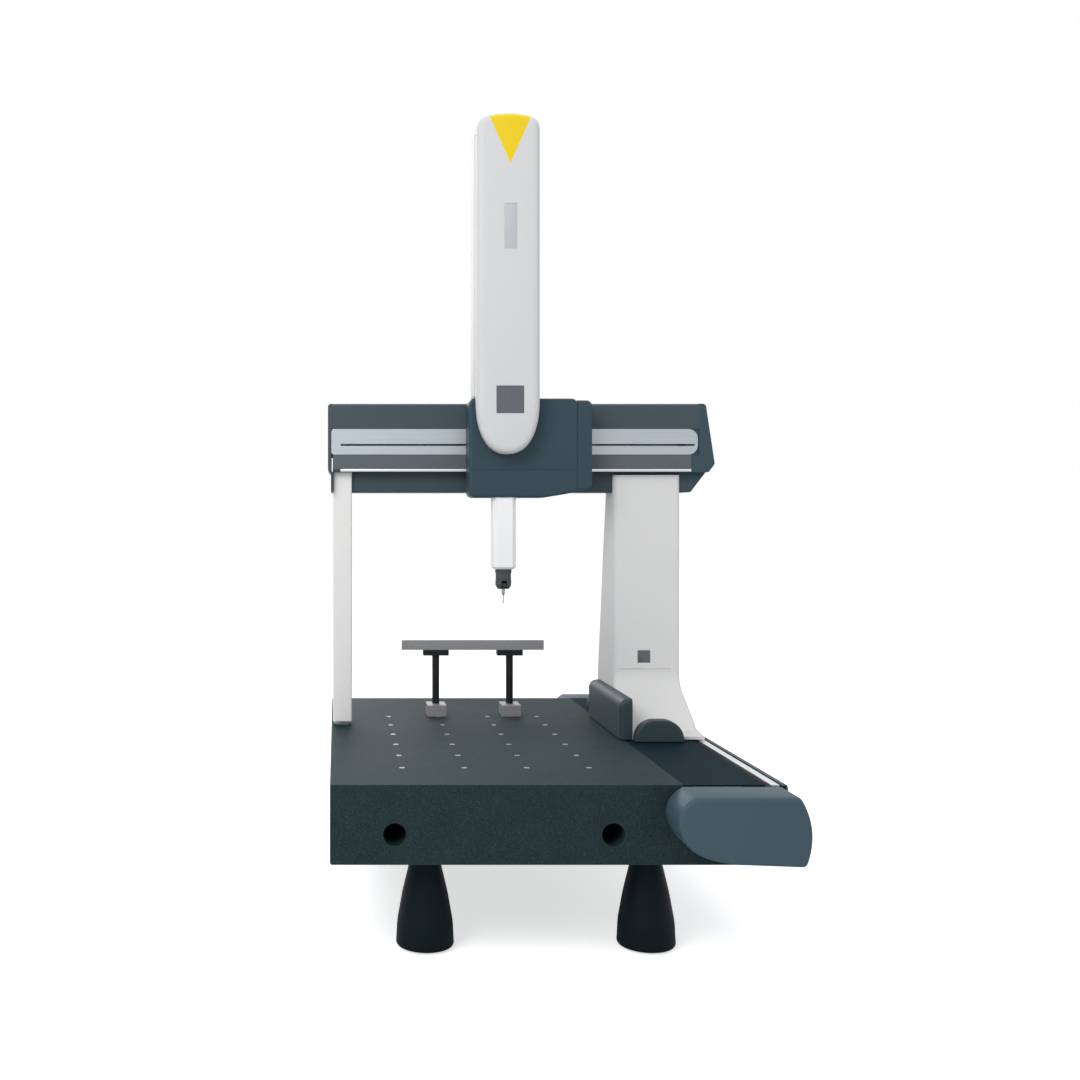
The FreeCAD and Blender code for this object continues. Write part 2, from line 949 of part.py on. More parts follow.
def motor(name, axis, middle, side, length, foot):
    """Square motor along an axis, ending at its middle point, its shaft beyond and its foot block."""
    half = side / 2
    spans = [(middle_value - half, middle_value + half) for middle_value in middle]
    order = "XYZ".index(axis)
    spans[order] = (middle[order] - length, middle[order])
    body = block(name + "Case", *spans)
    shaft = rod(name + "Shaft", axis, middle, size.shaft_radius, shaft_run + size.belt_side_gap)
    return fused(name, body, shaft, foot)


def make_y_drive():
    """Motor on the table's rear face, idler on its front face, belt between them beside the rail."""
    shaft_start = y_belt_left - pulley_before_belt - size.belt_side_gap
    half = size.motor_size / 2
    foot = block(
        "YMotorFoot",
        (shaft_start - size.motor_length, table_right),
        (table_rear, y_pulley_place - half),
        (y_belt_height - half, y_belt_height + half),
    )
    y_motor = motor(
        "YDriveMotor", "X", (shaft_start, y_pulley_place, y_belt_height), size.motor_size, size.motor_length, foot
    )
    part("y_drive_motor", y_motor)
    arm = block(
        "YIdlerArm",
        (table_right - size.motor_size, table_right),
        (y_idler_place - size.pulley_radius, table_front),
        (y_belt_height - size.pulley_radius, y_belt_height + size.pulley_radius),
    )
    axle_length = shaft_start - table_right + shaft_run + size.belt_side_gap
    axle = rod(
        "YIdlerAxle",
        "X",
        (table_right, y_idler_place, y_belt_height),
        size.shaft_radius,
        axle_length,
    )
    part("y_idler_bracket", fused("YIdlerBracket", arm, axle))
    pulley_left = y_belt_left - pulley_before_belt
    radius = size.pulley_radius
    make_pulley("YDrivePulley", "y_drive_pulley", "X", (pulley_left, y_pulley_place, y_belt_height), radius)
    make_pulley("YIdlerPulley", "y_idler_pulley", "X", (pulley_left, y_idler_place, y_belt_height), radius)
    belt_ends = (y_belt_left, y_idler_place, y_belt_height), (y_belt_left, y_pulley_place, y_belt_height)
    make_belt("YDriveBelt", "y_drive_belt", "X", *belt_ends, radius)


# ---------------------------------------------------------------- air inlet and stylus rack


def make_air_inlet():
    """Compressed-air inlet block on the table's rear face, with a blind threaded port."""
    middle = across(size.inlet_left + size.inlet_width / 2)
    height = table_top - size.inlet_drop
    outline = [
        (middle - size.inlet_width / 2, height - size.inlet_height / 2, 6),
        (middle + size.inlet_width / 2, height - size.inlet_height / 2, 6),
        (middle + size.inlet_width / 2, height + size.inlet_height / 2, 6),
        (middle - size.inlet_width / 2, height + size.inlet_height / 2, 6),
    ]
    face = table_rear + size.inlet_depth
    inlet = prism("AirInlet", "XZ", outline, table_rear, face)
    port = draw_circles(
        inlet, "AirPort", "XZ", face - size.inlet_thread_depth, [(middle, height)], size.inlet_thread_radius
    )
    pocket(inlet, port, size.inlet_thread_depth)
    part("air_inlet", inlet)


def make_stylus_rack():
    """Change rack: a rail on two posts, each with a broad foot and a bracket under the rail."""
    rail_range = (across(size.rack_rail_left), across(size.rack_rail_right))
    middle_y = along(size.rack_place)
    bracket_bottom = above(size.rack_rail_bottom) - size.rack_bracket_height
    rail_bottom = above(size.rack_rail_bottom)
    feet = []
    posts = []
    for number, middle_x in enumerate(
        [rail_range[0] + size.rack_post_inset, rail_range[1] - size.rack_post_inset], start=1
    ):
        half = size.rack_foot_width / 2
        foot_front = along(size.rack_foot_front)
        feet.append(
            block(
                f"RackFoot{number}",
                (middle_x - half, middle_x + half),
                (foot_front, foot_front + size.rack_foot_length),
                (table_top, above(size.rack_foot_height)),
            )
        )
        post_length = bracket_bottom - above(size.rack_foot_height)
        post = rod(
            f"RackPost{number}",
            "Z",
            (middle_x, middle_y, above(size.rack_foot_height)),
            size.rack_post_radius,
            post_length,
        )
        half = size.rack_bracket_width / 2
        bracket = block(
            f"RackBracket{number}",
            (middle_x - half, middle_x + half),
            (middle_y - size.rack_bracket_depth / 2, middle_y + size.rack_bracket_depth / 2),
            (bracket_bottom, rail_bottom),
        )
        posts.append(fused(f"RackStand{number}", post, bracket))
    part("rack_feet", grouped("RackFeet", *feet))
    part("rack_posts", grouped("RackPosts", *posts))
    half = size.rack_rail_depth / 2
    rail = block(
        "RackRail", rail_range, (middle_y - half, middle_y + half), (rail_bottom, above(size.rack_rail_top))
    )
    part("rack_rail", rail)

# ---------------------------------------------------------------- bridge: main leg

leg_range = (across(size.leg_left), across(size.leg_right))
leg_floor = above(size.bridge_floor_gap)
base_front = bridge_front - size.base_front_reach
base_rear = bridge_front + size.base_rear_reach
beam_front = bridge_front - size.beam_ahead
beam_rear = beam_front + size.beam_depth
recess_front = beam_front + size.beam_recess
beam_underside = above(size.beam_bottom)
cross_front = beam_front + size.cross_setback
cross_rear = cross_front + size.cross_depth
cross_underside = above(size.cross_bottom)
column_front = bridge_front + size.column_setback
column_rear = column_front + size.column_depth
cover_gap = 2


def leg_side_outline():
    """Side view of the leg cover: belled base, upright front, rear that leans back as it falls."""
    lean_low = bridge_front + size.leg_depth_low
    lip_rear = bridge_front + size.leg_lip
    lip_bottom = above(size.base_lip_height)
    return [
        (base_front, leg_floor),
        (base_rear, leg_floor),
        (base_rear, lip_bottom),
        (base_rear - 40, above(size.bell_knee_height), size.bell_knee_radius),
        (bridge_front + size.leg_shoulder_depth, above(size.leg_shoulder_height), 60),
        (lean_low, above(size.leg_low_height), 120),
        (bridge_front + size.leg_depth_top, beam_underside - cover_gap),
        (lip_rear, beam_underside - cover_gap),
        (lip_rear, above(size.leg_top)),
        (bridge_front, above(size.leg_top)),
        (bridge_front, above(size.bell_bend_height), size.bell_bend_radius),
        (bridge_front - size.bell_knee_reach, above(size.bell_knee_height), size.bell_knee_radius),
        (bridge_front - size.bell_toe_reach, above(size.bell_toe_height)),
        (base_front, lip_bottom),
    ]


def leg_hollow_outline():
    """Inside of the leg cover, one wall in from its outline and open at both ends."""
    wall = size.leg_wall
    return [
        (bridge_front - size.bell_toe_reach + wall * 3, leg_floor),
        (base_rear - wall * 4, leg_floor),
        (base_rear - 40 - wall, above(size.bell_knee_height) - wall * 2),
        (bridge_front + size.leg_shoulder_depth - wall * 1.6, above(size.leg_shoulder_height) - wall * 2),
        (bridge_front + size.leg_depth_low - wall * 1.4, above(size.leg_low_height)),
        (bridge_front + size.leg_depth_top - wall * 1.4, beam_underside - cover_gap),
        (column_front - wall, beam_underside - cover_gap),
        (column_front - wall, beam_underside - wall * 3),
        (bridge_front + wall, beam_underside - wall * 3),
        (bridge_front + wall, above(size.bell_bend_height) - wall * 0.5),
        (bridge_front - size.bell_knee_reach + wall * 2, above(size.bell_knee_height) - wall),
        (bridge_front - size.bell_toe_reach + wall * 3, above(size.bell_toe_height) - wall),
    ]


def make_main_leg_cover():
    """Light grey shell of the leg, with its groove and the seat of its small window."""
    cover = prism("MainLegCover", "YZ", leg_side_outline(), *leg_range)

    def outer_edge(edge, middle):
        on_side = at(middle.x, leg_range[0]) or at(middle.x, leg_range[1])
        in_front = middle.y < float(bridge_front) + 1 and middle.z > float(above(size.bell_toe_height)) + 1
        behind_low = middle.y > float(bridge_front + size.leg_depth_top) - 1 and middle.z > float(leg_floor) + 1
        return on_side and (in_front or behind_low) and middle.z < float(above(size.leg_top)) - 1

    round_edges(cover, size.leg_edge_radius, outer_edge)
    wall = size.leg_wall
    hollow(cover, "LegInside", "YZ", leg_hollow_outline(), leg_range[0] + wall, leg_range[1] - wall)
    groove = [
        (across(size.groove_left), above(size.groove_bottom)),
        (across(size.groove_right), above(size.groove_bottom)),
        (across(size.groove_right), above(size.groove_bottom + size.groove_height)),
        (across(size.groove_left), above(size.groove_bottom + size.groove_height)),
    ]
    hollow(cover, "LegGroove", "XZ", groove, bridge_front, bridge_front + size.groove_depth)
    window_right = across(size.window_left + size.window_size)
    window_top = above(size.window_bottom + size.window_size)
    window = [
        (across(size.window_left), above(size.window_bottom)),
        (window_right, above(size.window_bottom)),
        (window_right, window_top),
        (across(size.window_left), window_top),
    ]
    hollow(cover, "WindowSeat", "XZ", window, bridge_front, bridge_front + size.window_depth)
    part("main_leg_cover", cover)


web_right = strip_range[0] - size.web_gap
web_left = web_right - size.web_thickness
saddle_top = table_top - size.band_thickness - size.bearing_thickness - size.saddle_gap
saddle_bottom = saddle_top - size.saddle_thickness
plate_front = bridge_front - size.bell_knee_reach + size.base_plate_inset
plate_rear = base_rear - size.base_plate_inset * 2
plate_bottom = leg_floor + size.bridge_floor_gap
plate_top = plate_bottom + size.base_plate_thickness


def make_main_leg():
    """Leg casting inside the cover: column up to the cross beam, ribbed base plate, outer web."""
    inset = size.column_inset
    column_range = (leg_range[0] + inset, leg_range[1] - inset)
    column = block("LegColumn", column_range, (column_front, column_rear), (plate_bottom, cross_underside))
    plate = block(
        "LegPlate", (leg_range[0] + size.leg_wall, web_right), (plate_front, plate_rear), (plate_bottom, plate_top)
    )
    web = block("LegWeb", (web_left, web_right), (plate_front, plate_rear), (saddle_top, plate_top))
    ribs = []
    for number, left in enumerate([column_range[0], column_range[1] - size.saddle_cheek], start=1):
        outline = [
            (column_front - 150, plate_top - 1),
            (column_rear + 120, plate_top - 1),
            (column_rear, plate_top + 180),
            (column_front, plate_top + 70),
        ]
        ribs.append(prism(f"LegRib{number}", "YZ", outline, left, left + size.saddle_cheek))
    part("main_leg", fused("MainLeg", column, plate, web, *ribs))


def make_y_saddle():
    """Inverted channel under the band that straddles the rail and reaches out to the leg's web."""
    cheek = size.saddle_cheek
    pad_space = size.bearing_thickness + size.air_gap
    left = rail_left - pad_space - cheek
    right = rail_right + pad_space
    cheek_bottom = saddle_bottom - size.saddle_cheek_height
    plate = block("SaddlePlate", (left, web_right), (plate_front, plate_rear), (saddle_bottom, saddle_top))
    cheeks = [
        block(
            f"SaddleCheek{number}",
            (x, x + cheek),
            (plate_front, plate_rear),
            (cheek_bottom, saddle_bottom),
        )
        for number, x in enumerate([left, right], start=1)
    ]
    clamp_bottom = y_belt_height + belt_outer + size.air_gap
    clamp = block(
        "YBeltClamp",
        (web_left, y_belt_left + size.belt_width),
        (column_front, column_front + size.motor_size),
        (clamp_bottom, clamp_bottom + size.saddle_cheek),
    )
    hanger = block(
        "YClampHanger",
        (web_left, web_right),
        (column_front, column_front + size.motor_size),
        (clamp_bottom, saddle_bottom),
    )
    part("y_saddle", fused("YSaddle", plate, *cheeks, clamp, hanger))


def make_y_air_bearings():
    """Air pads between saddle and rail, at both ends, and the slim leg's pad on the table."""
    pads = []
    ends = [plate_front, plate_rear - size.bearing_length]
    thickness = size.bearing_thickness
    for number, y in enumerate(ends, start=1):
        y_range = (y, y + size.bearing_length)
        side_range = (saddle_bottom - size.saddle_cheek_height, saddle_bottom - size.bearing_thickness * 2)
        top_inset = size.bearing_thickness * 2
        pads.append(
            block(
                f"YTopPad{number}",
                (rail_left + top_inset, rail_right - top_inset),
                y_range,
                (rail_top + size.air_gap, saddle_bottom),
            )
        )
        left = rail_left - thickness - size.air_gap
        pads.append(block(f"YLeftPad{number}", (left, left + thickness), y_range, side_range))
        right = rail_right + size.air_gap
        pads.append(block(f"YRightPad{number}", (right, right + thickness), y_range, side_range))
    slim_middle = (
        across(size.slim_left + size.slim_width / 2),
        bridge_front + size.slim_depth / 2,
        table_top,
    )
    radius = size.slim_bearing_radius
    outline = [
        (0, size.air_gap),
        (radius, size.air_gap),
        (radius, size.slim_bearing_height * 0.6),
        (radius * 0.4, size.slim_bearing_height),
        (0, size.slim_bearing_height),
    ]
    pads.append(turned("SlimLegPad", outline, slim_middle))
    part("y_air_bearings", grouped("YAirBearings", *pads))


# ---------------------------------------------------------------- bridge: shroud, noses, slim leg


def make_bearing_shroud():
    """Dark rounded cover along the inner side of the leg's base, open below."""
    left = across(size.shroud_left)
    right = leg_range[0]
    top = above(size.shroud_height)
    rear = base_front + size.shroud_length
    outline = [(left, leg_floor), (right, leg_floor), (right, top), (left, top, size.shroud_radius)]
    shroud = prism("BearingShroud", "XZ", outline, base_front, rear)
    wall = size.shroud_wall
    round_edges(
        shroud,
        size.shroud_radius * 0.5,
        lambda edge, middle: at(middle.y, base_front) and middle.z > float(leg_floor) + 1 and middle.x < float(right) - 1,
    )
    inside = [
        (left + wall, leg_floor),
        (right - wall, leg_floor),
        (right - wall, top - wall),
        (left + wall, top - wall, size.shroud_radius - wall),
    ]
    hollow(shroud, "ShroudInside", "XZ", inside, base_front + size.shroud_radius, rear - wall)
    part("bearing_shroud", shroud)


def make_guide_noses():
    """Arched tunnels over the band, before and behind the leg's base."""
    noses = []
    left = across(size.nose_left)
    right = across(size.nose_right)
    wall = size.shroud_wall
    top = above(size.nose_height)
    ends = {"Front": (base_front - size.nose_reach, base_front), "Rear": (
        base_rear, base_rear + size.nose_reach
    )}
    for name, (low, high) in ends.items():
        outline = [
            (left, leg_floor),
            (right, leg_floor),
            (right, top, size.nose_radius),
            (left, top, size.nose_radius),
        ]
        nose = prism(f"{name}Nose", "XZ", outline, low, high)
        free_end = low if name == "Front" else high
        round_edges(
            nose,
            size.shroud_wall * 2,
            lambda edge, middle, end=free_end: at(middle.y, end) and middle.z > float(leg_floor) + 1,
        )
        inside = [
            (left + wall, leg_floor),
            (right - wall, leg_floor),
            (right - wall, top - wall, size.nose_radius - wall),
            (left + wall, top - wall, size.nose_radius - wall),
        ]
        hollow(nose, f"{name}NoseInside", "XZ", inside, low + wall * 2, high - wall * 2)
        noses.append(nose)
    part("guide_noses", grouped("GuideNoses", *noses))


def make_slim_leg():
    """Slim upright under the beam's left end, with a lip before the beam's lower cover."""
    left = across(size.slim_left)
    foot = above(size.slim_bearing_height)
    rear = bridge_front + size.slim_depth
    lip_rear = bridge_front + size.leg_lip
    outline = [
        (bridge_front, foot),
        (rear, foot),
        (rear, cross_underside),
        (column_front - 4, cross_underside),
        (column_front - 4, beam_underside - cover_gap),
        (lip_rear, beam_underside - cover_gap),
        (lip_rear, above(size.slim_lip_top)),
        (bridge_front, above(size.slim_lip_top)),
    ]
    leg = prism("SlimLeg", "YZ", outline, left, left + size.slim_width)
    round_edges(leg, 6, lambda edge, middle: vertical(edge) and at(middle.y, bridge_front))
    part("slim_leg", leg)

# ---------------------------------------------------------------- cross beam


def from_end(inset):
    """X at a distance left of the beam's right end."""
    return across(size.beam_reach - inset)


cross_range = (across(size.cross_left), from_end(size.cross_right_inset))
cross_top = cross_underside + size.cross_height
beam_top = above(size.beam_top)
beam_split = above(size.beam_split)
beam_left = across(0) - size.beam_overhang
beam_wall = size.beam_wall
lower_left = across(size.slim_left) - 1
seam_right = from_end(size.seam_inset)
lower_right = from_end(size.lower_inset)
x_belt_middle = beam_front + size.x_belt_setback
x_belt_bottom = above(size.x_belt_bottom)
x_idler_place = across(size.x_idler_left)
x_motor_place = from_end(size.x_motor_inset)
x_bracket_top = x_belt_bottom - pulley_before_belt - size.belt_side_gap


def make_cross_beam():
    """Hollow ground guide beam, with the lug that carries the X idler's axle."""
    beam = prism(
        "CrossBeam",
        "YZ",
        [
            (cross_front, cross_underside),
            (cross_rear, cross_underside),
            (cross_rear, cross_top),
            (cross_front, cross_top),
        ],
        *cross_range,
    )
    bore = size.cross_bore_inset
    bore_outline = [
        (cross_front + bore, cross_underside + bore, 6),
        (cross_rear - bore, cross_underside + bore, 6),
        (cross_rear - bore, cross_top - bore, 6),
        (cross_front + bore, cross_top - bore, 6),
    ]
    hollow(beam, "CrossBeamBore", "YZ", bore_outline, *cross_range)
    half = size.pulley_radius
    lug = block(
        "XIdlerLug",
        (x_idler_place - half, x_idler_place + half),
        (cross_rear, x_belt_middle + half),
        (x_bracket_top - half, x_bracket_top),
    )
    axle = rod(
        "XIdlerAxle",
        "Z",
        (x_idler_place, x_belt_middle, x_bracket_top),
        size.shaft_radius,
        shaft_run,
    )
    part("cross_beam", fused("CrossBeamWithLug", beam, lug, axle))


def make_x_scale():
    """Measuring tape low on the cross beam's front face."""
    tape = block(
        "XScale",
        cross_range,
        (cross_front - size.scale_thickness, cross_front),
        (cross_underside, cross_underside + size.scale_width),
    )
    part("x_scale", tape)


def make_x_drive():
    """Motor behind the cross beam's right end, belt round an idler near its left end."""
    half = size.motor_size / 2
    foot = block(
        "XMotorFoot",
        (cross_range[1] - size.motor_size, cross_range[1]),
        (cross_rear, x_belt_middle - half),
        (x_bracket_top - size.motor_size, x_bracket_top),
    )
    x_motor = motor(
        "XDriveMotor", "Z", (x_motor_place, x_belt_middle, x_bracket_top), size.motor_size, size.motor_length, foot
    )
    part("x_drive_motor", x_motor)
    pulley_bottom = x_belt_bottom - pulley_before_belt
    radius = size.pulley_radius
    make_pulley(
        "XDrivePulley", "x_drive_pulley", "Z", (x_motor_place, x_belt_middle, pulley_bottom), radius
    )
    make_pulley(
        "XIdlerPulley", "x_idler_pulley", "Z", (x_idler_place, x_belt_middle, pulley_bottom), radius
    )
    belt_ends = (x_idler_place, x_belt_middle, x_belt_bottom), (x_motor_place, x_belt_middle, x_belt_bottom)
    make_belt("XDriveBelt", "x_drive_belt", "Z", *belt_ends, radius)


# ---------------------------------------------------------------- beam covers

panel_bottom = above(size.panel_bottom)
panel_top = panel_bottom + size.panel_height


def make_beam_upper_cover():
    """Dark cover over the beam's top and rear, its front apron down to the bright panel."""
    outline = [
        (beam_front, panel_top),
        (beam_front, beam_top, size.beam_edge_radius),
        (beam_rear, beam_top, size.beam_edge_radius),
        (beam_rear, panel_bottom),
        (beam_rear - beam_wall, panel_bottom),
        (beam_rear - beam_wall, beam_top - beam_wall, size.beam_edge_radius - beam_wall),
        (beam_front + beam_wall, beam_top - beam_wall, size.beam_edge_radius - beam_wall),
        (beam_front + beam_wall, panel_top),
    ]
    part("beam_upper_cover", prism("BeamUpperCover", "YZ", outline, across(0), seam_right))


def make_beam_lower_cover():
    """Lower cover: band under the panel, projecting lip, recessed skirt and floor with leg openings."""
    lip_low = beam_split - size.lip_height / 2
    lip_high = beam_split + size.lip_height / 2
    outline = [
        (beam_front, panel_bottom),
        (beam_front, lip_high),
        (beam_front - size.lip_reach, lip_high - 2),
        (beam_front - size.lip_reach, lip_low + 2),
        (beam_front, lip_low),
        (recess_front, lip_low),
        (recess_front, beam_underside, 6),
        (beam_rear, beam_underside, size.beam_edge_radius),
        (beam_rear, panel_bottom),
        (beam_rear - beam_wall, panel_bottom),
        (beam_rear - beam_wall, beam_underside + beam_wall),
        (recess_front + beam_wall, beam_underside + beam_wall),
        (recess_front + beam_wall, lip_low + beam_wall),
        (beam_front + beam_wall, lip_low + beam_wall),
        (beam_front + beam_wall, panel_bottom),
    ]
    cover = prism("BeamLowerCover", "YZ", outline, lower_left, lower_right)
    gap = 1
    front = column_front - 4 - gap
    openings = {
        "SlimLegOpening": (across(size.slim_left) - gap, across(size.slim_left + size.slim_width) + gap,
                           bridge_front + size.slim_depth + gap),
        "MainLegOpening": (leg_range[0] + size.column_inset - gap, leg_range[1] - size.column_inset + gap,
                           column_rear + gap),
    }
    for name, (left, right, rear) in openings.items():
        opening = [(left, front), (right, front), (right, rear), (left, rear)]
        hollow(cover, name, "XY", opening, beam_underside, beam_underside + beam_wall)
    part("beam_lower_cover", cover)


def make_beam_front_panel():
    """Bright panel with round ends and the long slot that the carriage's web runs in."""
    left = across(0)
    right = from_end(size.panel_right_inset)
    outline = [
        (left, panel_bottom, size.panel_radius * 0.3),
        (right, panel_bottom, size.panel_radius),
        (right, panel_top, size.panel_radius),
        (left, panel_top, size.panel_radius * 0.3),
    ]
    front = beam_front - size.panel_proud
    panel = prism("BeamFrontPanel", "XZ", outline, front, front + size.panel_thickness)
    slot_low = above(size.slot_bottom)
    slot_high = slot_low + size.slot_height
    slot_radius = size.slot_height * 0.4
    slot = [
        (across(size.slot_left), slot_low, slot_radius),
        (from_end(size.slot_right_inset), slot_low, slot_radius),
        (from_end(size.slot_right_inset), slot_high, slot_radius),
        (across(size.slot_left), slot_high, slot_radius),
    ]
    hollow(panel, "WebSlot", "XZ", slot, front, front + size.panel_thickness)
    part("beam_front_panel", panel)


def make_beam_left_cap():
    """Plate that closes the beam's left end, stepped in below the split line."""
    outline = [
        (lower_left, beam_underside),
        (lower_left, beam_split - size.lip_height / 2),
        (across(0), beam_split),
        (across(0), beam_top),
        (beam_left, beam_top, size.beam_edge_radius),
        (beam_left, beam_split + 4, 8),
        (across(0) - 2, beam_split - size.lip_height),
        (across(0) - 2, beam_underside, 4),
    ]
    cap = prism("BeamLeftCap", "XZ", outline, beam_front, beam_rear)
    round_edges(
        cap, 6, lambda edge, middle: vertical(edge) and at(middle.x, beam_left) and at(middle.y, beam_front)
    )
    part("beam_left_cap", cap)


def end_slant(height):
    """X of the end's undercut side at a height."""
    rise = above(size.end_wide_height) - beam_underside
    return from_end(size.end_bottom_inset) + size.end_bottom_inset * (height - beam_underside) / rise


def end_outline(inset, left_low, left_high, bottom, corner):
    """Slanted end of the beam: widest at the middle, undercut below; moved in by an inset."""
    low_right = from_end(size.end_bottom_inset) - inset
    return [
        (left_low, bottom),
        (low_right, bottom),
        (from_end(inset * 1.5), above(size.end_wide_height), size.end_radius),
        (from_end(size.end_top_inset) - inset, beam_top - inset, size.end_radius - inset),
        (left_high, beam_top - inset),
        *corner,
    ]


def make_beam_right_cap():
    """Moulded shell over the X motor at the beam's right end."""
    corner = [(seam_right, panel_bottom), (lower_right, panel_bottom)]
    outline = end_outline(0, lower_right, seam_right, beam_underside, corner)
    cap = prism("BeamRightCap", "XZ", outline, beam_front, beam_rear)
    lip_low = beam_split - size.lip_height / 2
    beyond = from_end(-1)
    skirt = [
        (lower_right - 1, beam_underside - 1),
        (beyond, beam_underside - 1),
        (beyond, lip_low),
        (lower_right - 1, lip_low),
    ]
    hollow(cap, "EndRecess", "XZ", skirt, beam_front, recess_front)
    round_edges(
        cap,
        size.beam_edge_radius * 0.8,
        lambda edge, middle: at(middle.y, beam_rear) and middle.x > float(seam_right) + 1,
    )
    left = lower_right - 1
    floor = lip_low + beam_wall
    upper_inside = end_outline(beam_wall, left, left, floor, [])
    upper_inside[1] = (end_slant(floor) - beam_wall * 1.5, floor)
    hollow(cap, "EndInside", "XZ", upper_inside, beam_front + beam_wall, beam_rear - beam_wall)
    lower_inside = [
        (left, beam_underside + beam_wall),
        (from_end(size.end_bottom_inset) - beam_wall, beam_underside + beam_wall),
        (end_slant(floor) - beam_wall * 1.5, floor + 1),
        (left, floor + 1),
    ]
    hollow(cap, "EndSkirtInside", "XZ", lower_inside, recess_front + beam_wall, beam_rear - beam_wall)
    part("beam_right_cap", cap)

# ---------------------------------------------------------------- X carriage: frame and bearings

carriage_range = (across(size.carriage_left), across(size.carriage_right))
carriage_front = bridge_front - size.carriage_ahead
carriage_rear = beam_front - size.panel_proud - size.carriage_gap
carriage_top = above(size.carriage_top)
carriage_bottom = above(size.carriage_bottom)
carriage_wall = size.carriage_wall
z_plate_range = (across(size.z_plate_left), across(size.z_plate_left + size.z_plate_width))
z_plate_front = carriage_rear - size.z_plate_thickness
pad_space = size.bearing_thickness + size.air_gap
ram_x = across(size.ram_place)
ram_half = size.ram_width / 2
ram_y = z_plate_front - pad_space - ram_half
ram_top = above(size.column_cover_top - size.ram_headroom)
ram_bottom = above(size.ram_bottom)
truck_range = (across(size.truck_left), across(size.truck_left + size.truck_length))
ring_bottoms = [above(size.ring_bottom), above(size.ring_bottom + size.ring_spacing)]
z_belt_x = ram_x - size.z_belt_offset
z_motor_front = z_plate_front - size.z_motor_length
z_pulley_front = z_motor_front - size.belt_side_gap - pulley_length
z_belt_front = z_pulley_front + pulley_before_belt
z_idler_height = above(size.z_idler_height)
z_motor_height = above(size.z_motor_height)


def make_truck():
    """Inverted channel round the cross beam, with the clamp that holds the X belt."""
    low = cross_front - pad_space
    high = cross_rear + pad_space
    cheek = size.truck_cheek
    top_bottom = cross_top + pad_space
    cheek_bottom = top_bottom - size.truck_cheek_drop
    top = block(
        "TruckTop",
        truck_range,
        (low - cheek, high + cheek),
        (top_bottom, top_bottom + size.truck_top),
    )
    front = block("TruckFront", truck_range, (low - cheek, low), (cheek_bottom, top_bottom))
    rear = block("TruckRear", truck_range, (high, high + cheek), (cheek_bottom, top_bottom))
    clamp_left = truck_range[0] + size.truck_length / 2 - size.belt_width
    clamp = block(
        "XBeltClamp",
        (clamp_left, clamp_left + size.belt_width * 2),
        (high + cheek, x_belt_middle - belt_outer - size.air_gap),
        (x_belt_bottom, x_belt_bottom + size.belt_width),
    )
    return [top, front, rear, clamp]


def make_carriage_frame():
    """Truck, thin web through the panel's slot and tall plate with the ram's bearing rings."""
    web_low = above(size.slot_bottom) + (size.slot_height - size.carriage_web) / 2
    web = block(
        "CarriageWeb",
        (truck_range[0], z_plate_range[1]),
        (carriage_rear, cross_front - pad_space),
        (web_low, web_low + size.carriage_web),
    )
    plate = block(
        "ZPlate", z_plate_range, (z_plate_front, carriage_rear), (
            above(size.z_plate_bottom), above(size.z_plate_top)
        )
    )
    arms = block(
        "CoverArms",
        (carriage_range[0] + carriage_wall, carriage_range[1] - carriage_wall),
        (z_plate_front, carriage_rear),
        (web_low - size.z_plate_thickness, web_low + size.z_plate_thickness),
    )
    rings = []
    space = ram_half + pad_space
    outer = space + size.ring_wall
    for number, bottom in enumerate(ring_bottoms, start=1):
        z_range = (bottom, bottom + size.ring_height)
        ring = block(
            f"Ring{number}", (ram_x - outer, ram_x + outer), (ram_y - outer, z_plate_front), z_range
        )
        hole = block(
            f"RingHole{number}",
            (ram_x - space, ram_x + space),
            (ram_y - space, z_plate_front),
            z_range,
        )
        rings.append(cut(f"BearingRing{number}", ring, hole))
    half = size.z_pulley_radius / 2
    lug = block(
        "ZIdlerLug",
        (z_belt_x - half, z_belt_x + half),
        (z_motor_front, z_plate_front),
        (z_idler_height - half, z_idler_height + half),
    )
    axle_start = (z_belt_x, z_motor_front - shaft_run, z_idler_height)
    axle = rod("ZIdlerAxle", "Y", axle_start, size.shaft_radius, shaft_run + size.belt_side_gap)
    part("x_carriage_frame", fused("XCarriageFrame", *make_truck(), web, plate, arms, *rings, lug, axle))


def make_x_air_bearings():
    """Air pads between truck and cross beam, near both ends of the truck."""
    pads = []
    inset = size.bearing_thickness * 2
    length = size.bearing_length * 0.75
    gap = size.air_gap
    thickness = size.bearing_thickness
    side_range = (cross_top - size.truck_cheek_drop + inset * 2, cross_top - inset * 2)
    for number, left in enumerate([truck_range[0], truck_range[1] - length], start=1):
        x_range = (left, left + length)
        top_range = (cross_front + inset, cross_rear - inset)
        pads.append(
            block(f"XTopPad{number}", x_range, top_range, (cross_top + gap, cross_top + gap + thickness)),
        )
        front = cross_front - gap - thickness
        pads.append(block(f"XFrontPad{number}", x_range, (front, front + thickness), side_range))
        rear = cross_rear + gap
        pads.append(block(f"XRearPad{number}", x_range, (rear, rear + thickness), side_range))
    part("x_air_bearings", grouped("XAirBearings", *pads))


